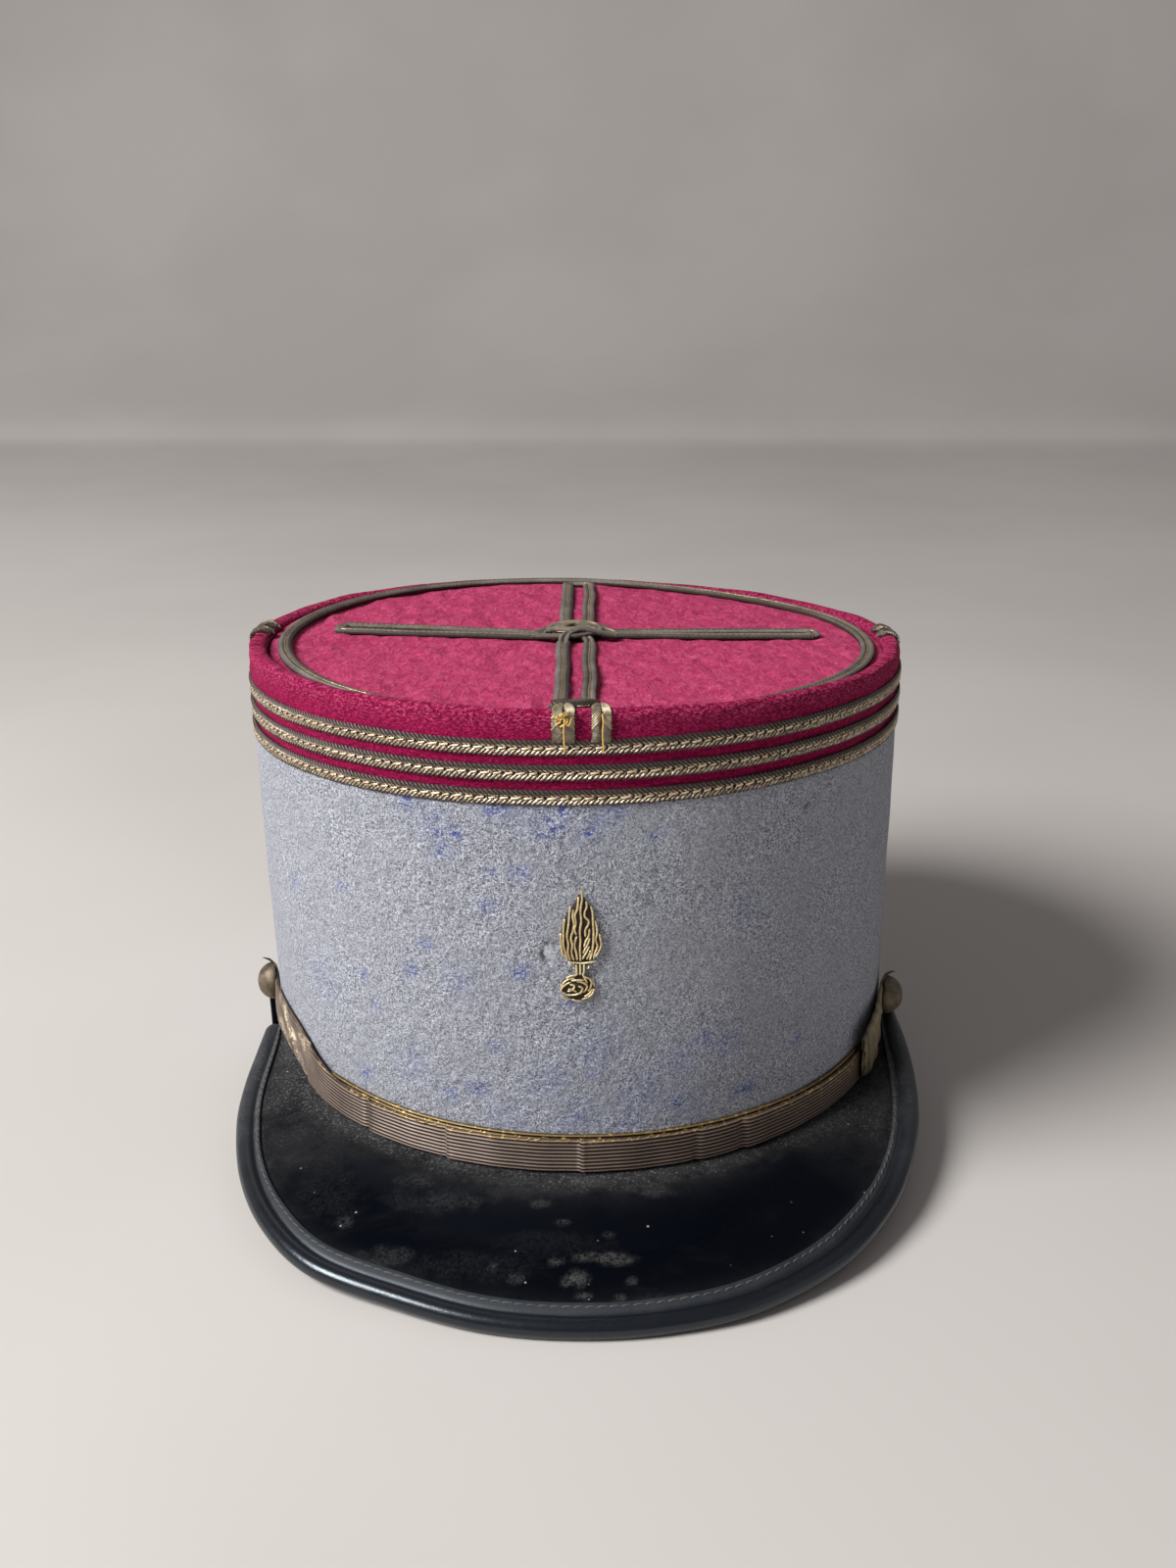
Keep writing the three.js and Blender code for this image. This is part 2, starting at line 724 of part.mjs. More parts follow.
function chinStrap() {
  const strap = solidOf(strapBody(OUTER_STRAP, 45, flatSection));
  return geometryOf(holedStrap(strap, BUTTONS[0]));
}

function strapKeeper() {
  const tab = solidOf(strapBody(KEEPER_TAB, 10, flatSection));
  const sleeve = solidOf(strapBody(KEEPER_SLEEVE, 4, sleeveSection));
  return geometryOf(holedStrap(tab.add(sleeve), BUTTONS[1]));
}

const BUTTON_SIDES = 18;
const BUTTON_SEAT = 1.5; // back of the dome out from the wall
const BUTTON_PROFILE = [
  { radius: 0, out: GAP },
  { radius: SHANK_RADIUS, out: GAP },
  { radius: SHANK_RADIUS, out: BUTTON_SEAT },
  { radius: BUTTON_RADIUS * 0.95, out: BUTTON_SEAT },
  { radius: BUTTON_RADIUS, out: BUTTON_SEAT + 0.8 },
  { radius: BUTTON_RADIUS * 0.86, out: BUTTON_SEAT + 2.6 },
  { radius: BUTTON_RADIUS * 0.5, out: BUTTON_SEAT + 4 },
  { radius: 0, out: BUTTON_SEAT + 4.5 },
];

function buttonGeometry() {
  const profile = BUTTON_PROFILE.map(({ radius, out }) => new THREE.Vector2(radius, out));
  return new THREE.LatheGeometry(profile, BUTTON_SIDES);
}

addPiece("felt_band", feltBand(), COLOURS.felt);
addPiece("crown_side", crownSide(), COLOURS.crimson);
addPiece("crown_top", crownTop(), COLOURS.crimson);
["galon_top", "galon_middle", "galon_bottom"].forEach((name, number) => {
  addPiece(name, galon(number), COLOURS.braid);
});
addPiece("ring_braid", ringBraid(), COLOURS.braid);
for (const arm of ARMS) addPiece("knot_arm_" + arm.name, knotArm(arm), COLOURS.braid);
addPiece("knot_centre", knotCentre(), COLOURS.braid);
for (const row of UPRIGHTS) addPiece("upright_" + row.name, upright(row), COLOURS.braid);
addPiece("badge_flame", badgeFlame(), COLOURS.gold);
addPiece("badge_ball", badgeBall(), COLOURS.gold);
addPiece("peak", peakSheet(), COLOURS.leather);
addPiece("peak_binding", peakBinding(), COLOURS.leather);
addPiece("chin_strap", chinStrap(), COLOURS.strap);
addPiece("strap_underlay", strapBody(UNDER_STRAP, 28, flatSection), COLOURS.strap);
addPiece("strap_keeper", strapKeeper(), COLOURS.strap);
for (const button of BUTTONS) {
  atButton(addPiece(button.name, buttonGeometry(), COLOURS.brass), button, 0);
}

// The origin is under the middle of the hat, on the table
const bounds = new THREE.Box3().setFromObject(pieces, true);
const middle = bounds.getCenter(new THREE.Vector3());
pieces.position.set(-middle.x, -middle.y, -bounds.min.z);

export default hat;
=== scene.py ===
import math

import bpy
import bmesh
import numpy as np
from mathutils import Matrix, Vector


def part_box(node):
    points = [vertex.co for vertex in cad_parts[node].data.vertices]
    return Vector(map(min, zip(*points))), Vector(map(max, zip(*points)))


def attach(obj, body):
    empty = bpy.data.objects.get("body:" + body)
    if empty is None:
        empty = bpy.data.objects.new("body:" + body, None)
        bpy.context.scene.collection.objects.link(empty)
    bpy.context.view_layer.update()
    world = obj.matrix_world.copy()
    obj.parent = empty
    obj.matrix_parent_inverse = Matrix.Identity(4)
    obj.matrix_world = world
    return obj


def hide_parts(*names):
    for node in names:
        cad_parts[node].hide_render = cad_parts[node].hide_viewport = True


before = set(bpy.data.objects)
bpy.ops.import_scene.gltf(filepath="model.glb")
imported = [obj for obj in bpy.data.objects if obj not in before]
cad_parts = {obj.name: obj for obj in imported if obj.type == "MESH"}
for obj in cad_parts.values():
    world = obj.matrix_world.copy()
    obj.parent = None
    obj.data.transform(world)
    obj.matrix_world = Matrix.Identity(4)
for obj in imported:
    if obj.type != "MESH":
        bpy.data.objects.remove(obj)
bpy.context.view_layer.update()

MM = 0.001
crown_low, crown_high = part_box("crown_top")
MIDDLE = np.array([(crown_low.x + crown_high.x) / 2, (crown_low.y + crown_high.y) / 2, 0.0])
draws = np.random.default_rng(7)

# The camera. The frame and the length of the lens are counted in dots of the photograph
EYE, LOOK_DOWN = np.array([2.91, -385.49, 214.55]), math.radians(19.52)
LENS_DOTS, FRAME_WIDE, FRAME_HIGH, SENSOR_HIGH = 1550.0, 1200, 1600, 36.0
camera_data = bpy.data.cameras.new("camera")
camera_data.sensor_fit = "VERTICAL"
camera_data.sensor_height = SENSOR_HIGH
camera_data.lens = SENSOR_HIGH * LENS_DOTS / FRAME_HIGH
camera = bpy.data.objects.new("camera", camera_data)
camera.location = EYE * MM + MIDDLE
camera.rotation_euler = (math.radians(90) - LOOK_DOWN, 0, 0)
bpy.context.scene.collection.objects.link(camera)
bpy.context.scene.camera = camera

# Sizes, as in the solids
CROWN_HALF_WIDTH, CROWN_HALF_LENGTH, CROWN_HEIGHT = 83.0, 84.6, 120.0
CROWN_FALL, CROWN_TWIST = 0.044, 0.021
BROW_HALF_WIDTH, BROW_HALF_LENGTH, BROW_CENTRE, BROW_LIFT = 85.0, 98.3, 12.9, 13.6
FELT_THICK, CLOTH_THICK, TOP_THICK, GAP = 2.5, 2.6, 1.8, 0.3
TOP_SINK_FRONT, TOP_SINK_BACK, TOP_TWIST, TOP_SINK_EASE = 4.4, 0.2, 0.027, 1.4
GALON_DROP, GALON_TILT, GALON_HIGH, GALON_PITCH = 6.0, 0.0145, 3.7, 5.58
BRAID_THICK, CLOTH_SEAM, RING_INSET, STRIP_WIDE = 1.4, 19.0, 8.4, 3.4
ARM_HALF_GAP, KNOT_RADIUS, GALON_SINK = 3.2, 9.0, 0.45
ROLL_INNER = -4.2


def brow_height(y):
    return BROW_LIFT * (1 - (y - (BROW_CENTRE - BROW_HALF_LENGTH)) / (2 * BROW_HALF_LENGTH))


def share_back(y):
    """0 at the front of the crown and 1 at its back."""
    return (y + CROWN_HALF_LENGTH) / (2 * CROWN_HALF_LENGTH)


def rim_height(x, y):
    return CROWN_HEIGHT - CROWN_FALL * y - CROWN_TWIST * x * share_back(y) ** 2


def top_height(x, y):
    front = np.maximum(0, 1 - share_back(y))
    sink = TOP_SINK_BACK + (TOP_SINK_FRONT - TOP_SINK_BACK) * front**TOP_SINK_EASE
    return rim_height(x, y) - sink - TOP_TWIST * np.maximum(0, x) * share_back(y) ** 2


def rim_point(angle, out):
    x = (CROWN_HALF_WIDTH + out) * np.sin(angle)
    y = -(CROWN_HALF_LENGTH + out) * np.cos(angle)
    return np.stack(np.broadcast_arrays(x, y, rim_height(x, y)), -1)


def brow_point(angle, out):
    x = (BROW_HALF_WIDTH + out) * np.sin(angle)
    y = BROW_CENTRE - (BROW_HALF_LENGTH + out) * np.cos(angle)
    return np.stack(np.broadcast_arrays(x, y, brow_height(y)), -1)


def lean(angle, way, out):
    """How far the worn cloth stands out from the even shape: pinched at the foot of its left side,
    and leaning out at the foot of its right side."""
    left, right = np.clip(-np.sin(angle), 0, 1) ** 2, np.clip(np.sin(angle), 0, 1) ** 2
    amount = left * (-0.9 + 1.4 * way - 0.9 * bump_at(way, 0, 0.15)) + right * (0.7 - 1.3 * way)
    return amount * np.clip(1 + out / 8, 0, 1)


def wall_point(angle, height, out):
    """A point of the wall at a height, that far out from its face."""
    brow, rim = brow_point(angle, out), rim_point(angle, out)
    way = (height - brow[..., 2]) / (rim[..., 2] - brow[..., 2])
    out = out + lean(angle, way, out)
    brow, rim = brow_point(angle, out), rim_point(angle, out)
    way = (height - brow[..., 2]) / (rim[..., 2] - brow[..., 2])
    return brow + (rim - brow) * way[..., None]


def wall_below_rim(angle, drop, out):
    return wall_point(angle, rim_point(angle, out)[..., 2] - drop, out)


def wall_above_brow(angle, rise, out):
    return wall_point(angle, brow_point(angle, out)[..., 2] + rise, out)


def all_round(count):
    """Angles round the hat, starting at its back."""
    return np.linspace(-np.pi, np.pi, count, endpoint=False)


def circle(count):
    """Points round a circle with a radius of 1."""
    turn = np.linspace(0, 2 * np.pi, count, endpoint=False)
    return np.stack([np.cos(turn), np.sin(turn)], 1)


def unit(vectors):
    return vectors / np.maximum(np.linalg.norm(vectors, axis=-1, keepdims=True), 1e-9)


def bump_at(value, middle, spread):
    """1 at the middle, falling softly to 0 on both sides."""
    return np.exp(-(((value - middle) / spread) ** 2))


def smooth_between(points, steps, closed=False):
    """A smooth curve through rows of numbers, with that many steps between two rows."""
    points = np.asarray(points, float)
    if closed:
        padded = np.concatenate([points[-1:], points, points[:2]])
    else:
        padded = np.concatenate([[2 * points[0] - points[1]], points, [2 * points[-1] - points[-2]]])
    spans = len(padded) - 3
    t = np.linspace(0, 1, steps, endpoint=False)[:, None]
    parts = []
    for i in range(spans):
        a, b, c, d = padded[i : i + 4]
        curve = 2 * b + (c - a) * t + (2 * a - 5 * b + 4 * c - d) * t**2
        parts.append(0.5 * (curve + (3 * b - a - 3 * c + d) * t**3))
    if not closed:
        parts.append(padded[-2:-1])
    return np.concatenate(parts)


def relief(x, y, size, seed):
    """Soft random relief between -1 and 1, with features about that many mm wide."""
    lattice = np.random.default_rng(seed).uniform(-1, 1, (64, 64))
    u, v = x / size, y / size
    i, j = np.floor(u).astype(int), np.floor(v).astype(int)
    a, b = u - i, v - j
    a, b = a * a * (3 - 2 * a), b * b * (3 - 2 * b)
    corner = [[lattice[(i + di) % 64, (j + dj) % 64] for dj in (0, 1)] for di in (0, 1)]
    near = corner[0][0] * (1 - b) + corner[0][1] * b
    far = corner[1][0] * (1 - b) + corner[1][1] * b
    return near * (1 - a) + far * a


# Meshes


def mesh_from(name, points, faces, corners=None):
    """A mesh in metres from points in mm. Corners has a pair of numbers for each face corner."""
    points = np.asarray(points, float)
    triangles = np.array([(f[0], f[i], f[i + 1]) for f in faces for i in range(1, len(f) - 1)])
    a, b, c = (points[triangles[:, i]] for i in range(3))
    inside_out = np.einsum("ij,ij->i", a, np.cross(b, c)).sum() < 0
    mesh = bpy.data.meshes.new(name)
    if inside_out:
        faces = [f[::-1] for f in faces]
    mesh.from_pydata((points * MM + MIDDLE).tolist(), [], faces)
    if corners is not None:
        if inside_out:
            corners = [list(c)[::-1] for c in corners]
        flat = [number for face in corners for pair in face for number in pair]
        mesh.uv_layers.new(name="run").data.foreach_set("uv", flat)
    mesh.polygons.foreach_set("use_smooth", [True] * len(mesh.polygons))
    mesh.update()
    return mesh


def skin(name, rows, along=None, round_along=False):
    """A closed mesh from rows of points that each close on themselves.
    Along numbers the rows, for a pattern that follows them."""
    count, width, _ = rows.shape
    points = rows.reshape(-1, 3)
    i, j = np.meshgrid(np.arange(count if round_along else count - 1), np.arange(width), indexing="ij")
    i, j = i.ravel(), j.ravel()
    steps = ((0, 0), (1, 0), (1, 1), (0, 1))
    faces = np.stack([(i + di) % count * width + (j + dj) % width for di, dj in steps], 1).tolist()
    u = np.arange(count + 1.0) if along is None else along
    corners = np.stack([np.stack([u[i + di], j + dj], 1) for di, dj in steps], 1).tolist()
    if not round_along:
        points = np.concatenate([points, rows[:1].mean(1), rows[-1:].mean(1)])
        first_tip = count * width
        for start, tip, end, way in ((0, first_tip, 0, -1), (first_tip - width, first_tip + 1, -1, 1)):
            for j in range(width):
                faces.append([start + j, start + (j + 1) % width, tip][::way])
                corners.append([[u[end], 0.0]] * 3)
    return mesh_from(name, points, faces, corners)


def note(mesh, name, values, rest=0.0):
    """Notes a number at each point of a mesh, for its finish: one number for all, or a row of
    numbers for the first points of each row that skin() was given. The others get the rest."""
    whole = np.full(len(mesh.vertices), rest, np.float32)
    if np.ndim(values):
        rows, columns = np.shape(values)
        width = len(whole) // rows
        whole[: rows * width].reshape(rows, width)[:, :columns] = values
    else:
        whole[:] = values
    mesh.attributes.new(name, "FLOAT", "POINT").data.foreach_set("value", whole)


def run_lengths(points):
    steps = np.linalg.norm(np.diff(points, axis=0), axis=1)
    return np.concatenate([[0], np.cumsum(steps)])


def sweep(name, path, sides, ups, section, closed=False):
    """Carries a section of (across, up) points along a path: one section, or one for each point."""
    section = np.broadcast_to(section, (len(path),) + np.shape(section)[-2:])
    rows = path[:, None] + section[..., :1] * sides[:, None] + section[..., 1:] * ups[:, None]
    return skin(name, rows, round_along=closed)


def frames_along(path, up, closed=False):
    """Side and up directions along a path, for a rough up direction."""
    if closed:
        ahead = np.roll(path, -1, 0) - np.roll(path, 1, 0)
    else:
        ahead = np.gradient(path, axis=0)
    ahead = unit(ahead)
    up = np.broadcast_to(np.asarray(up, float), path.shape)
    sides = unit(np.cross(up, ahead))
    return sides, unit(np.cross(ahead, sides))


def tube(name, path, radius):
    sides, ups = frames_along(path, [0, 0, 1.0])
    return sweep(name, path, sides, ups, circle(6) * radius)


def piece(name, parts, node):
    """One object from parts, each a mesh and its material, that dresses one solid."""
    whole = bmesh.new()
    result = bpy.data.meshes.new(name)
    for mesh, material in parts:
        if material.name not in result.materials:
            result.materials.append(material)
        index = list(result.materials).index(material)
        mesh.polygons.foreach_set("material_index", [index] * len(mesh.polygons))
        whole.from_mesh(mesh)
        bpy.data.meshes.remove(mesh)
    whole.to_mesh(result)
    whole.free()
    made = bpy.data.objects.new(name, result)
    bpy.context.scene.collection.objects.link(made)
    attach(made, "root")
    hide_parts(node)


# Materials


class Nodes:
    """Short ways to add nodes to a tree."""

    def __init__(self, tree):
        self.tree = tree

    def put(self, socket, value):
        if isinstance(value, bpy.types.Node):
            value = value.outputs[0]
        if isinstance(value, bpy.types.NodeSocket):
            self.tree.links.new(value, socket)
        else:
            socket.default_value = value

    def add(self, kind, props=None, **inputs):
        node = self.tree.nodes.new(kind)
        for key, value in (props or {}).items():
            setattr(node, key, value)
        for label, value in inputs.items():
            self.put(node.inputs[label.replace("_", " ")], value)
        return node

    def maths(self, operation, first, second):
        node = self.add("ShaderNodeMath", {"operation": operation})
        self.put(node.inputs[0], first)
        self.put(node.inputs[1], second)
        return node.outputs[0]

    def times(self, first, *others):
        for other in others:
            first = self.maths("MULTIPLY", first, other)
        return first

    def plus(self, first, *others):
        for other in others:
            first = self.maths("ADD", first, other)
        return first


class Finish(Nodes):
    """A material and short ways to paint with it. Scales are per metre of the object."""

    def __init__(self, name, **constants):
        self.material = bpy.data.materials.new(name)
        self.material.use_nodes = True
        super().__init__(self.material.node_tree)
        self.shader = self.tree.nodes["Principled BSDF"]
        self.where = self.add("ShaderNodeTexCoord").outputs["Object"]
        for label, value in constants.items():
            self.shader.inputs[label.replace("_", " ")].default_value = value

    def noise(self, scale, detail=3.0, roughness=0.55, distortion=0.0, vector=None):
        kinds = dict(Scale=scale, Detail=detail, Roughness=roughness, Distortion=distortion)
        return self.add("ShaderNodeTexNoise", Vector=vector or self.where, **kinds).outputs["Fac"]

    def cells(self, scale, feature="F1"):
        node = self.add("ShaderNodeTexVoronoi", {"feature": feature}, Scale=scale, Vector=self.where)
        return node.outputs["Distance"]

    def stretched(self, scale, turn=(0, 0, 0)):
        return self.add("ShaderNodeMapping", Vector=self.where, Scale=scale, Rotation=turn).outputs["Vector"]

    def ramp(self, value, *stops):
        node = self.add("ShaderNodeValToRGB", Fac=value)
        ends = node.color_ramp.elements
        while len(ends) < len(stops):
            ends.new(0.5)
        for element, (position, colour) in zip(ends, stops):
            element.position, element.color = position, (*colour, 1)
        return node.outputs["Color"]

    def span(self, value, low, high, to_low=0.0, to_high=1.0):
        """Brings the numbers between low and high to the numbers between to_low and to_high."""
        node = self.add("ShaderNodeMapRange", Value=value)
        for label, number in (("From Min", low), ("From Max", high), ("To Min", to_low), ("To Max", to_high)):
            node.inputs[label].default_value = number
        return node.outputs["Result"]

    def mix(self, share, first, second):
        node = self.add("ShaderNodeMix", {"data_type": "RGBA"}, Factor=share)
        # The sixth and seventh inputs are the two colours, and the second output the mixed one
        for index, value in ((6, first), (7, second)):
            self.put(node.inputs[index], (*value, 1) if isinstance(value, tuple) else value)
        return node.outputs[2]

    def attribute(self, name):
        return self.add("ShaderNodeAttribute", {"attribute_name": name}).outputs["Fac"]

    def finish(self, colour, roughness=None, height=None, depth=0.0001, strength=1.0):
        self.put(self.shader.inputs["Base Color"], colour)
        if roughness is not None:
            self.put(self.shader.inputs["Roughness"], roughness)
        if height is not None:
            bump = self.add("ShaderNodeBump", Strength=strength, Distance=depth, Height=height)
            self.put(self.shader.inputs["Normal"], bump)
        return self.material


def felt_finish():
    """Light and dark hairs with soft pills and lumps."""
    sheen = dict(Sheen_Weight=0.08, Sheen_Roughness=0.6)
    f = Finish("grey blue felt", Roughness=0.95, Specular_IOR_Level=0.2, **sheen)
    fibre = f.noise(3400, 2, 0.6)
    grain = f.noise(1700, 3, 0.75)
    cloud = f.noise(60, 4, 0.65)
    mixed = f.plus(f.times(fibre, 0.45), f.times(grain, 0.55))
    base = f.ramp(
        mixed,
        (0.36, (0.05, 0.055, 0.08)), (0.44, (0.19, 0.205, 0.25)),
        (0.52, (0.41, 0.43, 0.49)), (0.62, (0.74, 0.76, 0.84)),
    )
    base = f.mix(f.span(cloud, 0.38, 0.62, 0, 0.45), base, (0.35, 0.365, 0.41))
    # Where the nap is worn off, the blue ground of the weave shows as small flecks
    flecks = f.span(f.noise(1, 2, 0.7, 0.3, f.stretched((1000, 1000, 1500), (0, 0.5, 0))), 0.5, 0.54)
    pills = f.noise(430, 2, 0.5, 0.4)
    worn = f.attribute("wear")
    base = f.mix(f.times(worn, 0.2), base, (0.40, 0.47, 0.72))
    base = f.mix(f.times(worn, flecks), base, (0.02, 0.05, 0.30))
    base = f.mix(f.attribute("pale"), base, (0.62, 0.66, 0.74))
    # Dark specks, and painted shade in the moth hole
    base = f.mix(f.attribute("dark"), base, (0.012, 0.012, 0.014))
    base = f.mix(f.span(pills, 0.3, 0.48, 0.22, 0), base, (0.16, 0.175, 0.21))
    lumps = f.plus(pills, f.times(f.noise(210, 3, 0.6, 0.5), 1.1))
    return f.finish(base, height=f.plus(f.times(mixed, 0.6), lumps), depth=0.0009)


def crimson_finish(name, dark, mid, light, nap, lint_share, woven=False):
    """Brushed cloth, or cloth with rows of yarn, with flecks of lint on it."""
    sheen = dict(Sheen_Weight=nap, Sheen_Roughness=0.5, Sheen_Tint=(1.0, 0.2, 0.4, 1))
    f = Finish(name, Roughness=0.92, Specular_IOR_Level=0.12, **sheen)
    pile = f.noise(1300, 3, 0.7, 1.0)
    cloud = f.noise(70, 4, 0.6)
    if woven:
        # Short rows of yarn run round the side
        run = f.add("ShaderNodeSeparateXYZ", Vector=f.add("ShaderNodeUVMap", {"uv_map": "run"}))
        high = f.add("ShaderNodeSeparateXYZ", Vector=f.where).outputs["Z"]
        rows = f.add("ShaderNodeCombineXYZ", X=run.outputs["X"], Y=f.times(high, 2500.0))
        brushed = f.noise(1, 2, 0.6, 0.5, rows.outputs["Vector"])
    else:
        brushed = f.noise(1, 4, 0.6, 0.8, f.stretched((560, 260, 520), (0, 0, 0.25)))
    mixed = f.plus(f.times(pile, 0.45), f.times(brushed, 0.55))
    base = f.ramp(mixed, (0.36, dark), (0.5, mid), (0.66, light))
    base = f.mix(f.span(cloud, 0.4, 0.7, 0, 0.3), base, mid)
    lint = f.span(f.cells(330), 0.05, 0.1, 1, 0)
    chosen = f.span(f.noise(55, 1), 0.6, 0.68)
    base = f.mix(f.times(lint, chosen, lint_share), base, (0.62, 0.42, 0.46))
    # Painted highlight on the yarn where the cloth turns over the rim
    base = f.mix(f.times(f.attribute("painted_rim_highlight"), f.span(mixed, 0.48, 0.58)), base, (0.78, 0.16, 0.32))
    # Painted shade in the crown top's creases and dents
    base = f.mix(f.attribute("dark"), base, (0.03, 0.002, 0.008))
    return f.finish(base, height=mixed, depth=0.0016)


def thread_finish(name, low, high, roughness, metallic, scale=2600):
    """Thread between two colours, with a fine grain and larger patches."""
    f = Finish(name, Metallic=metallic)
    fine = f.noise(scale, 3, 0.7)
    patch = f.noise(90, 4, 0.65)
    base = f.ramp(f.plus(f.times(fine, 0.5), f.times(patch, 0.5)), (0.38, low), (0.62, high))
    return f.finish(base, f.span(fine, 0.3, 0.7, roughness - 0.1, roughness + 0.12), fine, 0.0002, 0.5)


def galon_finish():
    """Gold threads next to the groove between the cords, tarnished dark away from it."""
    f = Finish("tarnished gold braid", Metallic=0.7)
    inner = f.times(f.attribute("across"), 1000.0, f.attribute("hand"))
    fine = f.noise(2600, 3, 0.7)
    patch = f.noise(110, 4, 0.65)
    ragged = f.plus(f.span(fine, 0.3, 0.7, -0.12, 0.12), f.span(patch, 0.3, 0.7, -0.22, 0.22))
    share = f.span(f.plus(inner, f.attribute("line"), ragged), -0.1, 0.18)
    glint = f.noise(1300, 3, 0.7)
    gold = f.ramp(glint, (0.38, (0.17, 0.13, 0.10)), (0.5, (0.46, 0.37, 0.27)), (0.62, (0.92, 0.80, 0.62)))
    dark = f.ramp(fine, (0.35, (0.062, 0.05, 0.048)), (0.65, (0.15, 0.122, 0.115)))
    base = f.mix(share, dark, gold)
    # Painted shade at the threads' ends down in the groove between the cords
    base = f.mix(f.span(inner, 0.5, 0.8, 0, 0.75), base, (0.05, 0.036, 0.025))
    return f.finish(base, f.span(share, 0, 1, 0.5, 0.3), fine, 0.0002, 0.4)


def strap_finish(name, low, high, metallic, sparkle):
    """Lengthwise ribs, darker between than on their crests, with sparks of unworn gold. The dark between the
    ribs is tarnish and painted shade, and the sparks are partly painted glints.
    """
    f = Finish(name, Metallic=metallic)
    wave = f.span(f.maths("COSINE", f.times(f.attribute("rib"), 2 * math.pi / RIB_PITCH), 0.0), -1, 1)
    patch = f.noise(120, 4, 0.65)
    fine = f.noise(1500, 3, 0.7)
    # Painted shade between the ribs and painted light on their crests, over tarnish in the hollows
    tone = f.plus(f.times(wave, 0.75), f.times(patch, 0.3), f.times(fine, 0.1))
    base = f.ramp(tone, (0.25, tuple(c * 0.35 for c in low)), (0.55, low), (0.95, high))
    # Gold along the upper edge and on the rib crests: partly less tarnished gold, partly painted glints
    gilt_and_glints = f.attribute("gilt_and_glints")
    base = f.mix(f.times(f.maths("POWER", wave, 2.0), gilt_and_glints, 0.7), base, (0.42, 0.28, 0.11))
    spark = f.times(f.span(f.noise(900, 2), 0.58, 0.64), gilt_and_glints)
    base = f.mix(f.times(spark, sparkle), base, (0.85, 0.60, 0.22))
    # Worn bare patches where the strap twists, with painted highlights on them
    bare_and_highlight = f.attribute("bare_and_highlight")
    base = f.mix(f.times(bare_and_highlight, f.span(patch, 0.4, 0.6, 0.1, 0.6)), base, (0.45, 0.34, 0.27))
    base = f.mix(f.times(bare_and_highlight, f.span(f.noise(260, 4, 0.7), 0.47, 0.56)), base, (1.0, 0.9, 0.64))
    # Painted shade where the straps run under the keeper, and darker ends by the buttons
    base = f.mix(f.attribute("shade_and_dark_ends"), base, (0.02, 0.015, 0.011))
    return f.finish(base, f.span(patch, 0.3, 0.7, 0.36, 0.58), f.plus(wave, f.times(fine, 0.15)), 0.0002, 0.5)


def patent_finish(name, gloss, ground, polish, bloom, specked):
    """Ground is the colour of the clean leather, polish its roughness and bloom its dusty colour."""
    f = Finish(name, Specular_IOR_Level=gloss, Specular_Tint=(0.8, 0.9, 1.0, 1))
    cloud = f.noise(80, 5, 0.68, 0.5)
    smear = f.noise(1, 4, 0.65, 0.5, f.stretched((60, 170, 170)))
    grain = f.noise(1500, 4, 0.8)
    dust = f.attribute("dust")
    patchy = f.times(dust, f.span(f.plus(cloud, f.times(grain, 0.35)), 0.42, 0.85, 0.12, 1.2))
    haze = f.span(f.plus(patchy, f.span(smear, 0.58, 0.8, 0, 0.09)), 0, 1)
    base = f.mix(haze, ground, bloom)
    powder = f.times(f.span(grain, 0.54, 0.63), f.span(f.plus(dust, cloud), 0.85, 1.5))
    base = f.mix(powder, base, (0.17, 0.165, 0.16))
    stain = f.times(f.attribute("stain"), f.span(f.noise(1400, 4, 0.8, 1.0), 0.4, 0.62))
    base = f.mix(f.times(stain, 0.75), base, (0.10, 0.10, 0.096))
    specks = f.span(f.cells(230), 0.045, 0.075, specked, 0)
    speck = f.times(specks, f.span(f.noise(60, 2), 0.5, 0.56))
    base = f.mix(speck, base, (0.32, 0.32, 0.31))
    crackle = f.span(f.cells(420, feature="DISTANCE_TO_EDGE"), 0, 0.06)
    marks = f.times(f.plus(stain, speck), 0.4)
    rough = f.plus(f.span(haze, 0, 0.6, polish, 0.62), marks, f.times(f.attribute("matt"), 0.32))
    return f.finish(base, rough, f.plus(f.noise(260, 4, 0.6), f.times(crackle, 0.12)), 0.0002, 0.3)


def brass_finish():
    f = Finish("tarnished brass", Metallic=0.45, Specular_IOR_Level=0.4)
    cloud = f.noise(420, 5, 0.65)
    fine = f.noise(2400, 3, 0.6)
    base = f.ramp(cloud, (0.35, (0.085, 0.065, 0.042)), (0.6, (0.19, 0.15, 0.105)), (0.8, (0.26, 0.21, 0.15)))
    return f.finish(base, f.span(cloud, 0.3, 0.7, 0.42, 0.6), fine, 0.0001, 0.35)


def keeper_finish():
    f = Finish("olive keeper leather", Metallic=0.15)
    cloud = f.noise(230, 5, 0.65)
    grain = f.noise(1600, 3, 0.6)
    base = f.ramp(cloud, (0.3, (0.13, 0.105, 0.06)), (0.55, (0.26, 0.215, 0.125)), (0.8, (0.38, 0.32, 0.20)))
    # Painted shade at the keeper's left end and along its edges, and a darker end by the button
    base = f.mix(f.attribute("shade_and_dark_ends"), base, (0.02, 0.014, 0.009))
    return f.finish(base, f.span(cloud, 0.3, 0.7, 0.45, 0.65), grain, 0.00015, 0.5)


def plain_finish(name, colour, roughness):
    f = Finish(name)
    cloud = f.noise(300, 4, 0.6)
    shade = tuple(c * 0.75 for c in colour)
    return f.finish(f.ramp(cloud, (0.35, shade), (0.65, colour)), roughness, cloud, 0.0002, 0.4)


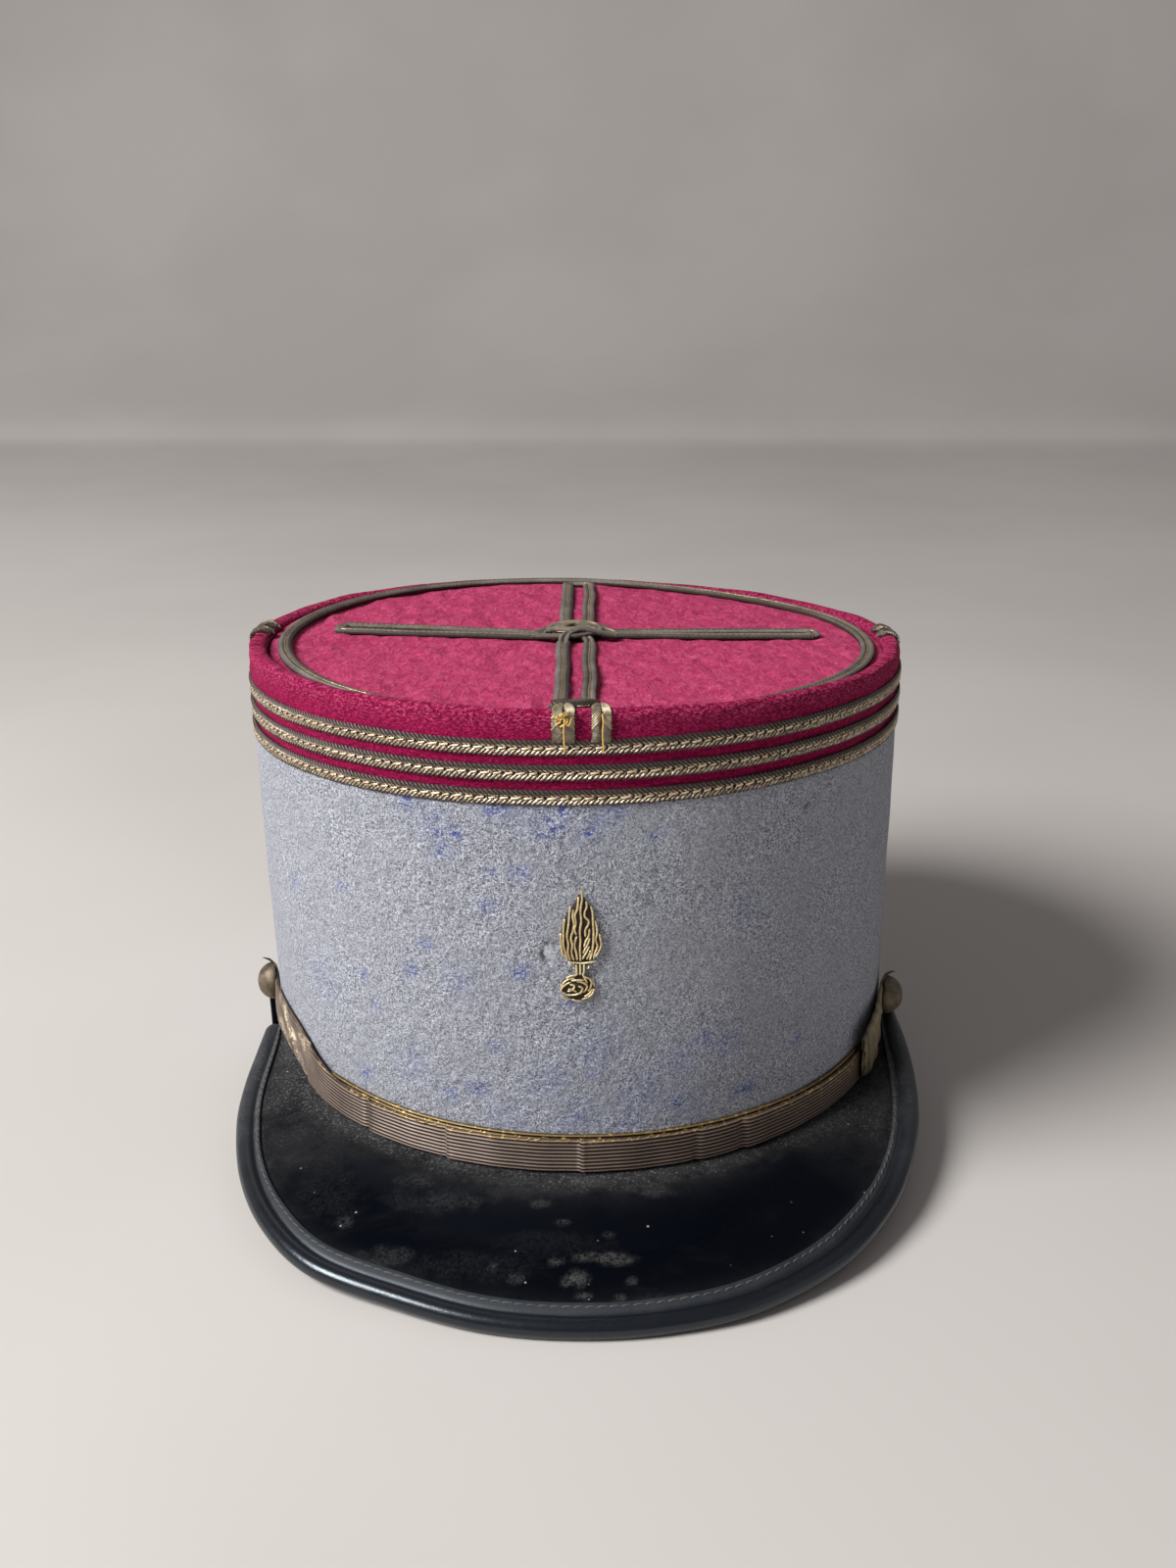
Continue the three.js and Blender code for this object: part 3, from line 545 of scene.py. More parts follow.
# From one rib of the chin strap to the next, in mm
RIB_PITCH = 0.95
FELT = felt_finish()
CRIMSON = crimson_finish(
    "crimson cloth", (0.12, 0.0, 0.02), (0.31, 0.003, 0.062), (0.54, 0.022, 0.13), 0.06, 0.3, woven=True
)
# The top's cloth is lighter than the side's: partly its napped face, partly painted light on the top
CRIMSON_TOP = crimson_finish(
    "napped crimson cloth with painted top light", (0.32, 0.013, 0.07), (0.54, 0.05, 0.148), (0.74, 0.14, 0.28), 0.15, 0.6
)
GOLD_THREAD = thread_finish("gold braid thread", (0.34, 0.25, 0.12), (0.72, 0.56, 0.32), 0.34, 0.75)
GREY_THREAD = thread_finish("grey braid thread", (0.088, 0.076, 0.068), (0.225, 0.197, 0.176), 0.55, 0.3)
TAN_THREAD = thread_finish("tan braid thread", (0.16, 0.125, 0.085), (0.34, 0.28, 0.20), 0.6, 0.25)
PALE_THREAD = thread_finish("pale gold braid thread", (0.30, 0.23, 0.14), (0.80, 0.68, 0.48), 0.36, 0.6)
SEAM_THREAD = thread_finish("bright gold seam thread", (0.62, 0.46, 0.27), (1.0, 0.86, 0.62), 0.34, 0.5)
BURNT_THREAD = thread_finish("blackened braid thread", (0.045, 0.033, 0.028), (0.14, 0.105, 0.088), 0.4, 0.5)
GALON = galon_finish()
BRIGHT_THREAD = thread_finish("bright gold thread", (0.26, 0.18, 0.07), (0.66, 0.50, 0.23), 0.34, 0.7)
BULLION = thread_finish("gold bullion", (0.62, 0.44, 0.19), (1.0, 0.9, 0.6), 0.32, 0.6)
# Dark body under the threads: painted shade seen in the gaps between them, and under the badge its dark
# underlay too
SHADOW = plain_finish("dark underlay and painted shade under the threads", (0.035, 0.022, 0.012), 0.8)
STRAP = strap_finish("ribbed bronze braid", (0.075, 0.054, 0.044), (0.29, 0.215, 0.17), 0.4, 0.9)
STRAP_GOLD = strap_finish("ribbed gold braid", (0.045, 0.031, 0.016), (0.24, 0.165, 0.07), 0.5, 0.8)
PATENT = patent_finish("patent leather", 0.12, (0.001, 0.0016, 0.0036), 0.16, (0.039, 0.039, 0.040), 1)
WELT = patent_finish("bound leather edge", 0.7, (0.003, 0.0042, 0.0066), 0.25, (0.058, 0.062, 0.068), 0)
STITCH = plain_finish("dusty waxed thread", (0.10, 0.096, 0.09), 0.7)
BRASS = brass_finish()
KEEPER_LEATHER = keeper_finish()


# Threads that follow a path: wound over a cord, or sewn as stitches


def thread_tree():
    """A tree that sets short slanting threads along a path, and the names of its inputs."""
    tree = bpy.data.node_groups.new("threads along a path", "GeometryNodeTree")
    kinds, named = {"Path": "Geometry", "Seed": "Int", "Thread": "Material"}, {}
    for label in ("Path", "Pitch", "Advance", "Width", "Hump", "Radius", "Unevenness", "Seed", "Thread"):
        kind = "NodeSocket" + kinds.get(label, "Float")
        named[label] = tree.interface.new_socket(label, in_out="INPUT", socket_type=kind).identifier
    tree.interface.new_socket("Threads", in_out="OUTPUT", socket_type="NodeSocketGeometry")
    asked = tree.nodes.new("NodeGroupInput").outputs
    n = Nodes(tree)
    # Points along the path, and the way a thread lies at each
    curve = n.add("GeometryNodeMeshToCurve", Mesh=asked["Path"])
    spaced = n.add("GeometryNodeResampleCurve", {"mode": "LENGTH"}, Curve=curve, Length=asked["Pitch"])
    outward = n.add("GeometryNodeInputNamedAttribute", {"data_type": "FLOAT_VECTOR"}, Name="outward")
    outward = outward.outputs["Attribute"]
    align, ahead = "FunctionNodeAlignRotationToVector", n.add("GeometryNodeInputTangent")
    turned = n.add(align, {"axis": "X"}, Vector=ahead)
    turned = n.add(align, {"axis": "Z", "pivot_axis": "X"}, Rotation=turned, Vector=outward)
    # One thread: an arch from one corner to the other
    half_run, half_wide = n.times(asked["Advance"], 0.5), n.times(asked["Width"], 0.5)
    foot = n.times(asked["Hump"], -1.0)
    start = n.add("ShaderNodeCombineXYZ", X=n.times(half_run, -1.0), Y=n.times(half_wide, -1.0), Z=foot)
    crest = n.add("ShaderNodeCombineXYZ", Z=asked["Hump"])
    end = n.add("ShaderNodeCombineXYZ", X=half_run, Y=half_wide, Z=foot)
    line = n.add("GeometryNodeCurveQuadraticBezier", Resolution=4, Start=start, Middle=crest, End=end)
    section = n.add("GeometryNodeCurvePrimitiveCircle", Resolution=5, Radius=asked["Radius"])
    thread = n.add("GeometryNodeCurveToMesh", Curve=line, Profile_Curve=section, Fill_Caps=True)
    # Its points note how far across the cord they lie, for its finish
    across = n.add("ShaderNodeSeparateXYZ", Vector=n.add("GeometryNodeInputPosition")).outputs["Y"]
    on_points = {"data_type": "FLOAT", "domain": "POINT"}
    noted = n.add("GeometryNodeStoreNamedAttribute", on_points, Geometry=thread, Name="across", Value=across)
    size = n.add("FunctionNodeRandomValue", {"data_type": "FLOAT"}, Seed=asked["Seed"])
    n.put(size.inputs[2], n.maths("SUBTRACT", 1.0, asked["Unevenness"]))
    n.put(size.inputs[3], n.plus(1.0, asked["Unevenness"]))
    placed = n.add(
        "GeometryNodeInstanceOnPoints", Points=spaced, Instance=noted, Rotation=turned, Scale=size.outputs[1]
    )
    real = n.add("GeometryNodeRealizeInstances", Geometry=placed)
    smooth = n.add("GeometryNodeSetShadeSmooth", Geometry=real)
    coloured = n.add("GeometryNodeSetMaterial", Geometry=smooth, Material=asked["Thread"])
    n.put(tree.nodes.new("NodeGroupOutput").inputs[0], coloured)
    return tree, named


THREADS, THREAD_INPUTS = thread_tree()


def threads_along(path, outward, material, closed=False, seed=1, unevenness=0.1, **sizes):
    """Threads set along a path in mm: pitch, advance, width, hump and radius are in mm too."""
    mesh = bpy.data.meshes.new("path")
    count = len(path)
    edges = [(i, (i + 1) % count) for i in range(count if closed else count - 1)]
    mesh.from_pydata((np.asarray(path) * MM + MIDDLE).tolist(), edges, [])
    mesh.attributes.new("outward", "FLOAT_VECTOR", "POINT").data.foreach_set(
        "vector", np.broadcast_to(outward, (count, 3)).astype(np.float32).ravel()
    )
    carrier = bpy.data.objects.new("path", mesh)
    bpy.context.scene.collection.objects.link(carrier)
    modifier = carrier.modifiers.new("threads", "NODES")
    modifier.node_group = THREADS
    for label, value in sizes.items():
        modifier[THREAD_INPUTS[label.capitalize()]] = value * MM
    modifier[THREAD_INPUTS["Unevenness"]] = unevenness
    modifier[THREAD_INPUTS["Seed"]] = seed
    modifier[THREAD_INPUTS["Thread"]] = material
    bpy.context.view_layer.update()
    ready = carrier.evaluated_get(bpy.context.evaluated_depsgraph_get())
    threads = bpy.data.meshes.new_from_object(ready)
    bpy.data.objects.remove(carrier)
    return threads


# Felt band

# Worn, faintly worn and dark spots: across and down in dots of the photograph's frame, and the
# spread in mm
WORN = [
    (415, 817, 2.6), (505, 825, 3.0), (572, 827, 2.6), (628, 828, 2.4), (446, 851, 2.0), (465, 850, 2.0),
    (668, 852, 1.6), (451, 868, 2.2), (347, 905, 1.6), (300, 900, 1.8), (502, 890, 1.2), (531, 890, 2.2),
    (497, 924, 1.8), (434, 963, 1.8), (419, 990, 2.0), (531, 992, 2.2), (371, 995, 1.6), (383, 1026, 1.4),
    (373, 1095, 2.2), (487, 1111, 2.6), (458, 1116, 2.0), (607, 1096, 1.6), (717, 1061, 2.2),
    (580, 1022, 1.6), (505, 1068, 1.6), (760, 1110, 2.6), (812, 1060, 1.6), (690, 1125, 2.4),
    (560, 845, 3.2), (600, 850, 2.0),
]
FAINTLY_WORN = [
    (610, 1070, 6), (655, 1112, 6), (692, 1082, 5), (590, 1140, 6), (742, 1060, 5), (640, 1150, 6),
    (560, 1102, 5), (700, 1130, 5), (520, 1140, 5), (420, 1085, 5), (440, 835, 5), (540, 832, 5),
    (610, 838, 5), (470, 1000, 4), (760, 930, 4), (330, 1000, 5),
]
SPECKS = [
    (346, 977, 0.42), (821, 823, 0.8), (781, 934, 0.6), (658, 922, 0.8), (318, 1030, 0.3), (640, 1150, 0.5),
]
# The brow edge's height at its middle, and the height of the wall from there to the rim
WALL_FOOT, WALL_HIGH = 7, 113
# How a dot's place on the wall is found: from a first height, in rounds that each go a share of the way
FIRST_HEIGHT, ROUNDS, ROUND_SHARE = 60.0, 60, 0.6


def on_wall(across, down):
    """The angle and height of the wall behind a dot of the photograph's frame."""
    ahead = np.array([0, math.cos(LOOK_DOWN), -math.sin(LOOK_DOWN)])
    up = np.array([0, math.sin(LOOK_DOWN), math.cos(LOOK_DOWN)])
    ray = ahead + np.array([1.0, 0, 0]) * (across - FRAME_WIDE / 2) / LENS_DOTS
    ray = ray + up * (FRAME_HIGH / 2 - down) / LENS_DOTS
    angle, height = 0.0, FIRST_HEIGHT
    for _ in range(ROUNDS):
        near = wall_point(np.array(angle), np.array(height), 0.0)
        outward = rim_point(np.array(angle), 1.0) - rim_point(np.array(angle), 0.0)
        outward[2] = 0.02
        hit = EYE + ray * (np.dot(near - EYE, outward) / np.dot(ray, outward))
        way = (hit[2] - WALL_FOOT) / WALL_HIGH
        middle_y = BROW_CENTRE * (1 - way)
        half_wide = BROW_HALF_WIDTH + (CROWN_HALF_WIDTH - BROW_HALF_WIDTH) * way
        half_long = BROW_HALF_LENGTH + (CROWN_HALF_LENGTH - BROW_HALF_LENGTH) * way
        angle += ROUND_SHARE * (math.atan2(hit[0] / half_wide, -(hit[1] - middle_y) / half_long) - angle)
        height += ROUND_SHARE * (hit[2] - height)
    return angle, height


def wall_wobble(angle, height):
    """How far the felt's uneven face stands out."""
    slow = 0.22 * np.sin(3 * angle + 0.6) + 0.14 * np.sin(7 * angle + height * 0.05)
    return slow + 0.07 * np.sin(17 * angle - height * 0.11) + 0.05 * np.sin(height * 0.35 + 5 * angle)


# The moth hole: a torn crescent with a raised inner lip, in mm
MOTH_ANGLE, MOTH_HEIGHT = on_wall(557, 973)
MOTH_BEND, MOTH_WIDE, MOTH_DEEP, MOTH_LIP, MOTH_LIP_HIGH = 1.75, 0.42, 0.75, 1.3, 0.16
# Points stand closer round it, within that many radians and that share of the wall's height
MOTH_NEAR_ANGLE, MOTH_NEAR_LEVEL, MOTH_STEP = 0.055, 0.05, 0.0035
FRONT_RIM, FELT_EDGE = 123.7, 0.35


def finer(values, middle, near):
    """Puts closer values within near of a middle."""
    low, high = middle - near, middle + near
    kept = values[(values < low - MOTH_STEP / 2) | (values > high + MOTH_STEP / 2)]
    return np.sort(np.concatenate([kept, np.arange(low, high, MOTH_STEP)]))


def spotted(angle, height, spots, strength, stretch=1.0, size=1.0):
    """How strongly spots, placed by the photograph's frame, cover each point of the wall."""
    cover = np.zeros(angle.shape)
    for across, down, spread in spots:
        spot_angle, spot_height = on_wall(across, down)
        far = np.hypot((angle - spot_angle) * BROW_HALF_WIDTH / stretch, height - spot_height)
        cover = np.maximum(cover, strength * bump_at(far, 0, spread * size))
    return cover


def felt_band():
    angles = all_round(300)
    angles = finer(angles, MOTH_ANGLE, MOTH_NEAR_ANGLE)
    moth_level = (MOTH_HEIGHT - BROW_LIFT) / (FRONT_RIM - CLOTH_SEAM - BROW_LIFT)
    levels = finer(np.linspace(0, 1, 72), moth_level, MOTH_NEAR_LEVEL)
    angle, level = np.meshgrid(angles, levels, indexing="ij")
    low = brow_point(angle, 0.0)[..., 2]
    high = rim_point(angle, 0.0)[..., 2] - CLOTH_SEAM - GAP
    height = low + (high - low) * level
    fade = np.minimum(1, np.minimum(level, 1 - level) * 12)
    out = wall_wobble(angle, height) * fade
    along = (angle - MOTH_ANGLE) * BROW_HALF_WIDTH
    above = height - MOTH_HEIGHT
    crescent = bump_at(np.hypot(along - 1.0, above * 0.8), MOTH_BEND, MOTH_WIDE) * (along < 1.0)
    crescent = crescent * np.clip(0.75 - above * 0.35, 0.25, 1)
    inner = bump_at(np.hypot(along - 1.0, above * 0.75), 0, MOTH_LIP)
    out = out - MOTH_DEEP * crescent + MOTH_LIP_HIGH * inner
    outer = wall_point(angle, height, out)
    edges = -np.array([[FELT_EDGE], [FELT_THICK - FELT_EDGE]])
    edge_top = wall_below_rim(angles, CLOTH_SEAM + GAP, edges).transpose(1, 0, 2)
    inside = wall_point(angle[:, ::-6], height[:, ::-6], -FELT_THICK)
    bottom = np.stack([brow_point(angles, FELT_EDGE - FELT_THICK), brow_point(angles, -FELT_EDGE)], 1)
    rows = np.concatenate([outer, edge_top, inside, bottom], 1)
    mesh = skin("felt_band", rows, round_along=True)
    worn = spotted(angle, height, WORN, 1.0, 1.3, 0.8)
    note(mesh, "wear", np.maximum(worn, spotted(angle, height, FAINTLY_WORN, 0.4)))
    # The moth hole's hollow is painted dark as shade in it, and its inner lip is painted pale
    shaded_hole = crescent * 0.6 * (above * 0.5 - along > -0.6)
    note(mesh, "dark", np.maximum(spotted(angle, height, SPECKS, 0.8), shaded_hole))
    note(mesh, "pale", 0.75 * inner)
    piece("felt_band_cloth", [(mesh, FELT)], "felt_band")


felt_band()


# Crimson cloth


def lip_wobble(angle):
    """How far the rolled rim rises and falls."""
    return 0.16 * np.sin(5 * angle + 1) + 0.12 * np.sin(11 * angle) + 0.08 * np.sin(23 * angle + 2)


# The rolled rim: how far it stands out, and how far below the rim's height
RIM_ROLL = [
    (0.0, 6.0), (0.0, 1.7), (-0.12, 0.9), (-0.45, 0.3), (-1.0, 0.04), (-2.1, 0.0), (-3.0, 0.15),
    (-3.8, 0.6), (-4.3, 1.4),
]


def crown_side():
    angles = all_round(360)
    roll = smooth_between(RIM_ROLL, 3)
    drops = np.concatenate([np.linspace(CLOTH_SEAM, 6.6, 14), roll[:, 1]])
    outs = np.concatenate([-GALON_SINK * np.linspace(1, 0, 14) ** 0.5, roll[:, 0]])
    angle, drop = np.meshgrid(angles, drops, indexing="ij")
    out = np.broadcast_to(outs, angle.shape)
    puff = 0.12 * np.sin(31 * angle + 2 * drop) + 0.1 * np.sin(13 * angle - drop)
    outer = wall_below_rim(angle, drop - lip_wobble(angle) * (drop < 6), out + puff * (out > -1))
    inner = rim_point(angles, ROLL_INNER)
    shelf = inner[:, 2] - top_height(inner[:, 0], inner[:, 1]) + TOP_THICK + GAP
    ledge = np.stack(
        [
            wall_below_rim(angles, shelf, ROLL_INNER),
            wall_below_rim(angles, shelf + 1.4, -CLOTH_THICK),
            wall_below_rim(angles, CLOTH_SEAM, -CLOTH_THICK),
        ],
        1,
    )
    rows = np.concatenate([outer, ledge], 1)
    mesh = skin("crown_side", rows, np.append(angles, np.pi) * CROWN_HALF_WIDTH, True)
    # A painted highlight where the nap catches the light as the cloth turns over the rim
    note(mesh, "painted_rim_highlight", np.broadcast_to(0.42 * bump_at(drops, 0.8, 3.0), angle.shape))
    note(mesh, "dark", 0.0)
    piece("crown_side_cloth", [(mesh, CRIMSON)], "crown_side")


# Small dents in the cloth: across and back from the middle, and their size, in mm
DENTS = [(-38, -10, 1.6), (44, 30, 1.2), (20, -42, 1.4), (-52, 24, 1.3), (62, -8, 1.1), (-12, 48, 1.2)]


def crown_top():
    angles = all_round(420)
    shares = np.concatenate([[0.012], np.linspace(0.03, 1, 96)])
    angle, share = np.meshgrid(angles, shares, indexing="ij")
    edge = ROLL_INNER - GAP
    x = (CROWN_HALF_WIDTH + edge) * np.sin(angle) * share
    y = -(CROWN_HALF_LENGTH + edge) * np.cos(angle) * share
    z = top_height(x, y)
    ripple = 0.22 * relief(x, y * 0.6, 8, 3) + 0.34 * relief(x + 0.25 * y, y * 0.45, 3.6, 4)
    ripple = ripple + 0.16 * relief(x, y * 0.5, 1.9, 5)
    # Short sharp creases in the soft cloth, painted darker as shade in them
    crease = np.clip(1 - np.abs(relief(x * 0.6, y, 10, 6)) / 0.22, 0, 1)
    crease = crease * np.clip(relief(x, y, 12, 7) * 1.6 + 0.25, 0, 1)
    ripple = ripple - 0.3 * crease
    dark = 0.13 * crease
    # Each dent is painted darker too, as shade in it
    for dent_x, dent_y, size in DENTS:
        near = bump_at(np.hypot(x - dent_x, (y - dent_y) / 0.6), 0, size)
        ripple = ripple - 0.3 * near
        dark = np.maximum(dark, 0.5 * near)
    z = z + (ripple - 0.15) * np.minimum(1, (1 - share) * 12)
    face = np.stack([x, y, z], -1)
    under = face[:, ::-6].copy()
    under[..., 2] = top_height(under[..., 0], under[..., 1]) - TOP_THICK
    # Both faces meet at the outer edge, and each closes in a small fan at its middle
    rows = np.concatenate([face, under], 1)
    count, width, _ = rows.shape
    faces = []
    for i in range(count):
        here, there = i * width, (i + 1) % count * width
        faces += [[here + j, there + j, there + j + 1, here + j + 1] for j in range(width - 1)]
        faces.append([there, here, count * width])
        faces.append([here + width - 1, there + width - 1, count * width + 1])
    points = np.concatenate([rows.reshape(-1, 3), face[:, :1].mean(0), under[:, -1:].mean(0)])
    mesh = mesh_from("crown_top", points, faces)
    note(mesh, "dark", dark)
    piece("crown_top_cloth", [(mesh, CRIMSON_TOP)], "crown_top")


crown_side()
crown_top()


# Braid: two cords side by side, each wound with slanting threads


def two_cords(half, height):
    """The section of two cords side by side."""
    turn = np.linspace(np.pi, 0, 8)
    left = np.stack([-0.5 + 0.5 * np.cos(turn), 0.3 + 0.7 * np.sin(turn)], 1)
    right = np.stack([0.5 + 0.5 * np.cos(turn[1:]), 0.3 + 0.7 * np.sin(turn[1:])], 1)
    return np.concatenate([left, right, [[1, 0], [-1, 0]]]) * [half, height]


# Shares of half a braid's width and of its height: its body, where its threads lie, how far each
# thread runs on and across, and its arch. A thread is that share of the pitch thick, up to a limit
BODY_WIDE, BODY_HIGH, SEAT = 0.94, 0.9, 0.86
THREAD_RUN, THREAD_WIDE, THREAD_ARCH, THREAD_THICK, THREAD_LIMIT = 0.95, 0.8, 0.36, 0.36, 0.3


def braid(
    name, path, ups, wide, thread, closed=False, seed=1,
    height=BRAID_THICK, pitch=0.72, lines=(0, 0), groove=None, stitch=(1.5, 1.1, 0.15),
):
    """A flat braid along a path on the surface: its body, and the threads wound over each cord.
    Groove is the finish of stitches between the cords, and stitch says how far apart, how long
    and how thick they are. Lines shift the line between gold and dark on each cord."""
    sides, ups = frames_along(path, ups, closed)
    half = wide / 2
    section = two_cords(half * BODY_WIDE, height * BODY_HIGH)
    # The dark body shows between the threads as painted shade
    parts = [(sweep(name, path, sides, ups, section, closed), SHADOW)]
    for number, hand in enumerate((-1, 1)):
        line = path + sides * (hand * half / 2) + ups * height * SEAT
        wound = threads_along(
            line, ups, thread, closed, seed + number, 0.08,
            pitch=pitch, advance=-hand * half * THREAD_RUN, width=half * THREAD_WIDE,
            hump=height * THREAD_ARCH, radius=min(pitch * THREAD_THICK, THREAD_LIMIT),
        )
        note(wound, "hand", -hand)
        note(wound, "line", lines[number])
        parts.append((wound, thread))
    if groove:
        every, long, thick = stitch
        line = path + ups * (height * SEAT + 0.6 * thick)
        stitches = threads_along(
            line, ups, groove, closed, seed + 5, 0.2,
            pitch=every, advance=long, width=0.25, hump=0.7 * thick, radius=thick,
        )
        parts.append((stitches, groove))
    return parts


def galon(name, number):
    angles = all_round(420)
    rim = rim_point(angles, 0.0)
    line = CROWN_HEIGHT - CROWN_FALL * rim[:, 1] + GALON_TILT * rim[:, 0] - GALON_DROP - number * GALON_PITCH
    middle = line - GALON_HIGH / 2 + 0.05 * np.sin(9 * angles + number)
    path = wall_point(angles, middle, GAP * 0.4 - GALON_SINK)
    outward = wall_point(angles, middle, 1.0) - wall_point(angles, middle, 0.0)
    parts = braid(
        name, path, outward, GALON_HIGH, GALON, True, 10 * number + 3, 0.75, 1.1,
        lines=(0.36, -0.2), groove=SEAM_THREAD, stitch=(2.6, 1.65, 0.24),
    )
    piece(name + "_braid", parts, name)


for number, name in enumerate(("galon_top", "galon_middle", "galon_bottom")):
    galon(name, number)


UP = [0, 0, 1.0]


def on_crown(x, y, up=GAP * 0.5):
    """Points that stand that far above the crown's cloth."""
    x, y = np.asarray(x, float), np.asarray(y, float)
    return np.stack([x, y, top_height(x, y) + up], -1)


def ring_braid():
    angles = all_round(400)
    inset = -RING_INSET + 0.12 * np.sin(7 * angles)
    x = (CROWN_HALF_WIDTH + inset) * np.sin(angles)
    y = -(CROWN_HALF_LENGTH + inset) * np.cos(angles)
    parts = braid("ring", on_crown(x, y), UP, STRIP_WIDE, GREY_THREAD, True, 51, groove=GOLD_THREAD)
    piece("ring_braid_cords", parts, "ring_braid")


ring_braid()

# The arms of the cross: the way each runs in degrees, and how far it reaches
ARMS = {"front": (-90, 69.5), "back": (90, 73.5), "left": (180, 64.0), "right": (0, 64.0)}
# The loop's end, along and across in mm from its middle, and half the gap between its sides at the knot
ARM_CORNER = [(1.4, -3.2), (2.75, -2.75), (3.2, -1.4), (3.2, 0), (3.2, 1.4), (2.75, 2.75), (1.4, 3.2)]
ARM_GAP_AT_KNOT = {"left": 1.9, "right": 1.9, "front": 3.3, "back": 2.9}
# How far an arm lies towards the back, at the knot and at its tip
ARM_BEND = {"left": (0.8, 7.5), "right": (3.0, 6.0)}
# The front arm's turned end: half its width, and the frays across it, from and to, in mm
FOLD_HALF = 4.9
FOLD_FRAYS = [((-4.6, -68.0), (-2.6, -70.4)), ((-4.2, -69.2), (-1.2, -71.0)), ((0.4, -70.8), (3.2, -70.6))]


def turned(plan, degrees):
    angle = math.radians(degrees)
    x = plan[:, 0] * math.cos(angle) - plan[:, 1] * math.sin(angle)
    return x, plan[:, 0] * math.sin(angle) + plan[:, 1] * math.cos(angle)


def knot_arm(name, turn, reach):
    end = reach - STRIP_WIDE / 2 - ARM_HALF_GAP
    along = np.linspace(KNOT_RADIUS - 0.5, end, 12)
    spread = np.clip((along - KNOT_RADIUS) / 34, 0, 1)
    gap = ARM_GAP_AT_KNOT[name] + (ARM_HALF_GAP - ARM_GAP_AT_KNOT[name]) * spread
    gap = gap + 0.12 * np.sin(along * 0.23 + turn) * (spread > 0)
    near, far = ARM_BEND.get(name, (0, 0))
    bend = (near + (far - near) * (along - along[0]) / (end - along[0])) * (1 if name == "right" else -1)
    sway = 0.14 * np.sin(along * 0.13 + turn * 2) + bend
    corner = np.array(ARM_CORNER) + [end, bend[-1]]
    side = np.stack([along, -gap + sway], 1)[:-1]
    other = np.stack([along, gap + sway], 1)[:-1][::-1]
    x, y = turned(smooth_between(np.concatenate([side, corner, other]), 5), turn)
    path = on_crown(x, y)
    parts = braid("arm", path, UP, STRIP_WIDE, GREY_THREAD, False, 60 + turn, 1.0, groove=GOLD_THREAD)
    if name == "front":
        # The braid's end is turned over and sewn down across the loop
        across = np.linspace(-4.7, FOLD_HALF, 13)
        plan = np.stack([reach - 2.6 + 1.5 * np.cos(across / FOLD_HALF * 1.5), across], 1)
        x, y = turned(plan, turn)
        fold = on_crown(x, y, 1.1 - 0.6 * (np.abs(across) / FOLD_HALF) ** 4)
        parts += braid("fold", fold, [0, -0.35, 1.0], 3.0, BURNT_THREAD, False, 71, 1.0)
        for fray in np.array(FOLD_FRAYS):
            line = smooth_between([fray[0], fray.mean(0) - [0.3, 0.4], fray[1]], 5)
            parts.append((tube("fray", on_crown(*line.T, 1.7), 0.14), PALE_THREAD))
    piece("knot_arm_" + name + "_cords", parts, "knot_arm_" + name)


for name, (turn, reach) in ARMS.items():
    knot_arm(name, turn, reach)


# The knot: the arms' braids run into it and lie over and under one another. The third number of
# a point is its height above the cloth
KNOT_STRANDS = [
    ("grey", [(-10.4, 2.0, 0.3), (-8, 3.4, 0.8), (-5, 6.2, 1.3), (-1, 7.8, 1.7), (3, 7.2, 1.7),
        (6.5, 4.8, 1.3), (9, 2.4, 0.7), (10.4, 1.9, 0.3)]),
    ("grey", [(-10.4, -1.9, 0.3), (-7.6, -3.0, 0.6), (-4, -4.4, 0.9), (-0.5, -4.9, 1.2),
        (3.2, -3.9, 1.6), (5.4, -1.2, 1.9), (4.2, 2.2, 2.1), (0.5, 4.4, 2.2)]),
    ("tan", [(-6.8, 1.0, 1.5), (-5.2, 3.8, 1.9), (-1.0, 5.0, 2.3), (3.4, 4.2, 2.3), (5.6, 1.4, 1.8),
        (3.6, -1.6, 1.9), (-1.0, -2.6, 2.2), (-5.2, -1.6, 2.0), (-6.8, 1.0, 1.5)]),
    ("grey", [(-3.3, -9.6, 0.2), (-3.3, -7.4, 0.7), (-2.2, -4.8, 1.7), (1.2, -3.3, 2.5),
        (4.8, -3.6, 2.0), (8.4, -3.2, 0.9), (10.2, -2.0, 0.3)]),
    ("grey", [(3.3, -9.6, 0.2), (3.1, -6.9, 0.5), (1.7, -3.8, 0.9), (-1.4, -0.6, 1.7),
        (-4.6, 0.6, 2.4), (-7.6, -0.4, 1.2)]),
    ("tan", [(-3.6, 0.6, 2.5), (-1.2, 2.0, 2.7), (2.0, 1.0, 2.6), (5.0, 1.2, 2.2), (7.8, 0.6, 1.1),
        (10.2, 0.2, 0.4)]),
    ("grey", [(-2.9, 9.6, 0.2), (-2.4, 6.8, 1.0), (0.2, 3.0, 2.5), (3.0, 0.8, 2.4)]),
    ("grey", [(2.9, 9.6, 0.2), (2.2, 6.4, 1.2), (-1.5, 3.6, 2.2), (-4.5, 2.6, 1.6)]),
]
KNOT_FRAYS = [
    [(-5.5, -3.2, 2.2), (-2.5, -4.6, 2.6), (1.5, -4.4, 2.9)], [(-6.4, -1.2, 2.6), (-3.0, -0.2, 3.5),
        (0.5, 0.8, 3.8)],
    [(-2.0, -3.4, 3.2), (1.6, -2.4, 3.7), (4.6, -2.8, 3.2)], [(5.8, 2.6, 2.9), (8.0, 2.2, 2.0),
        (10.2, 0.6, 1.5)],
    [(0.2, 1.9, 3.8), (2.6, 2.6, 3.7), (5.2, 1.6, 3.3)],
]
KNOT_BRAID_WIDE, KNOT_BACK = 2.7, 1.0


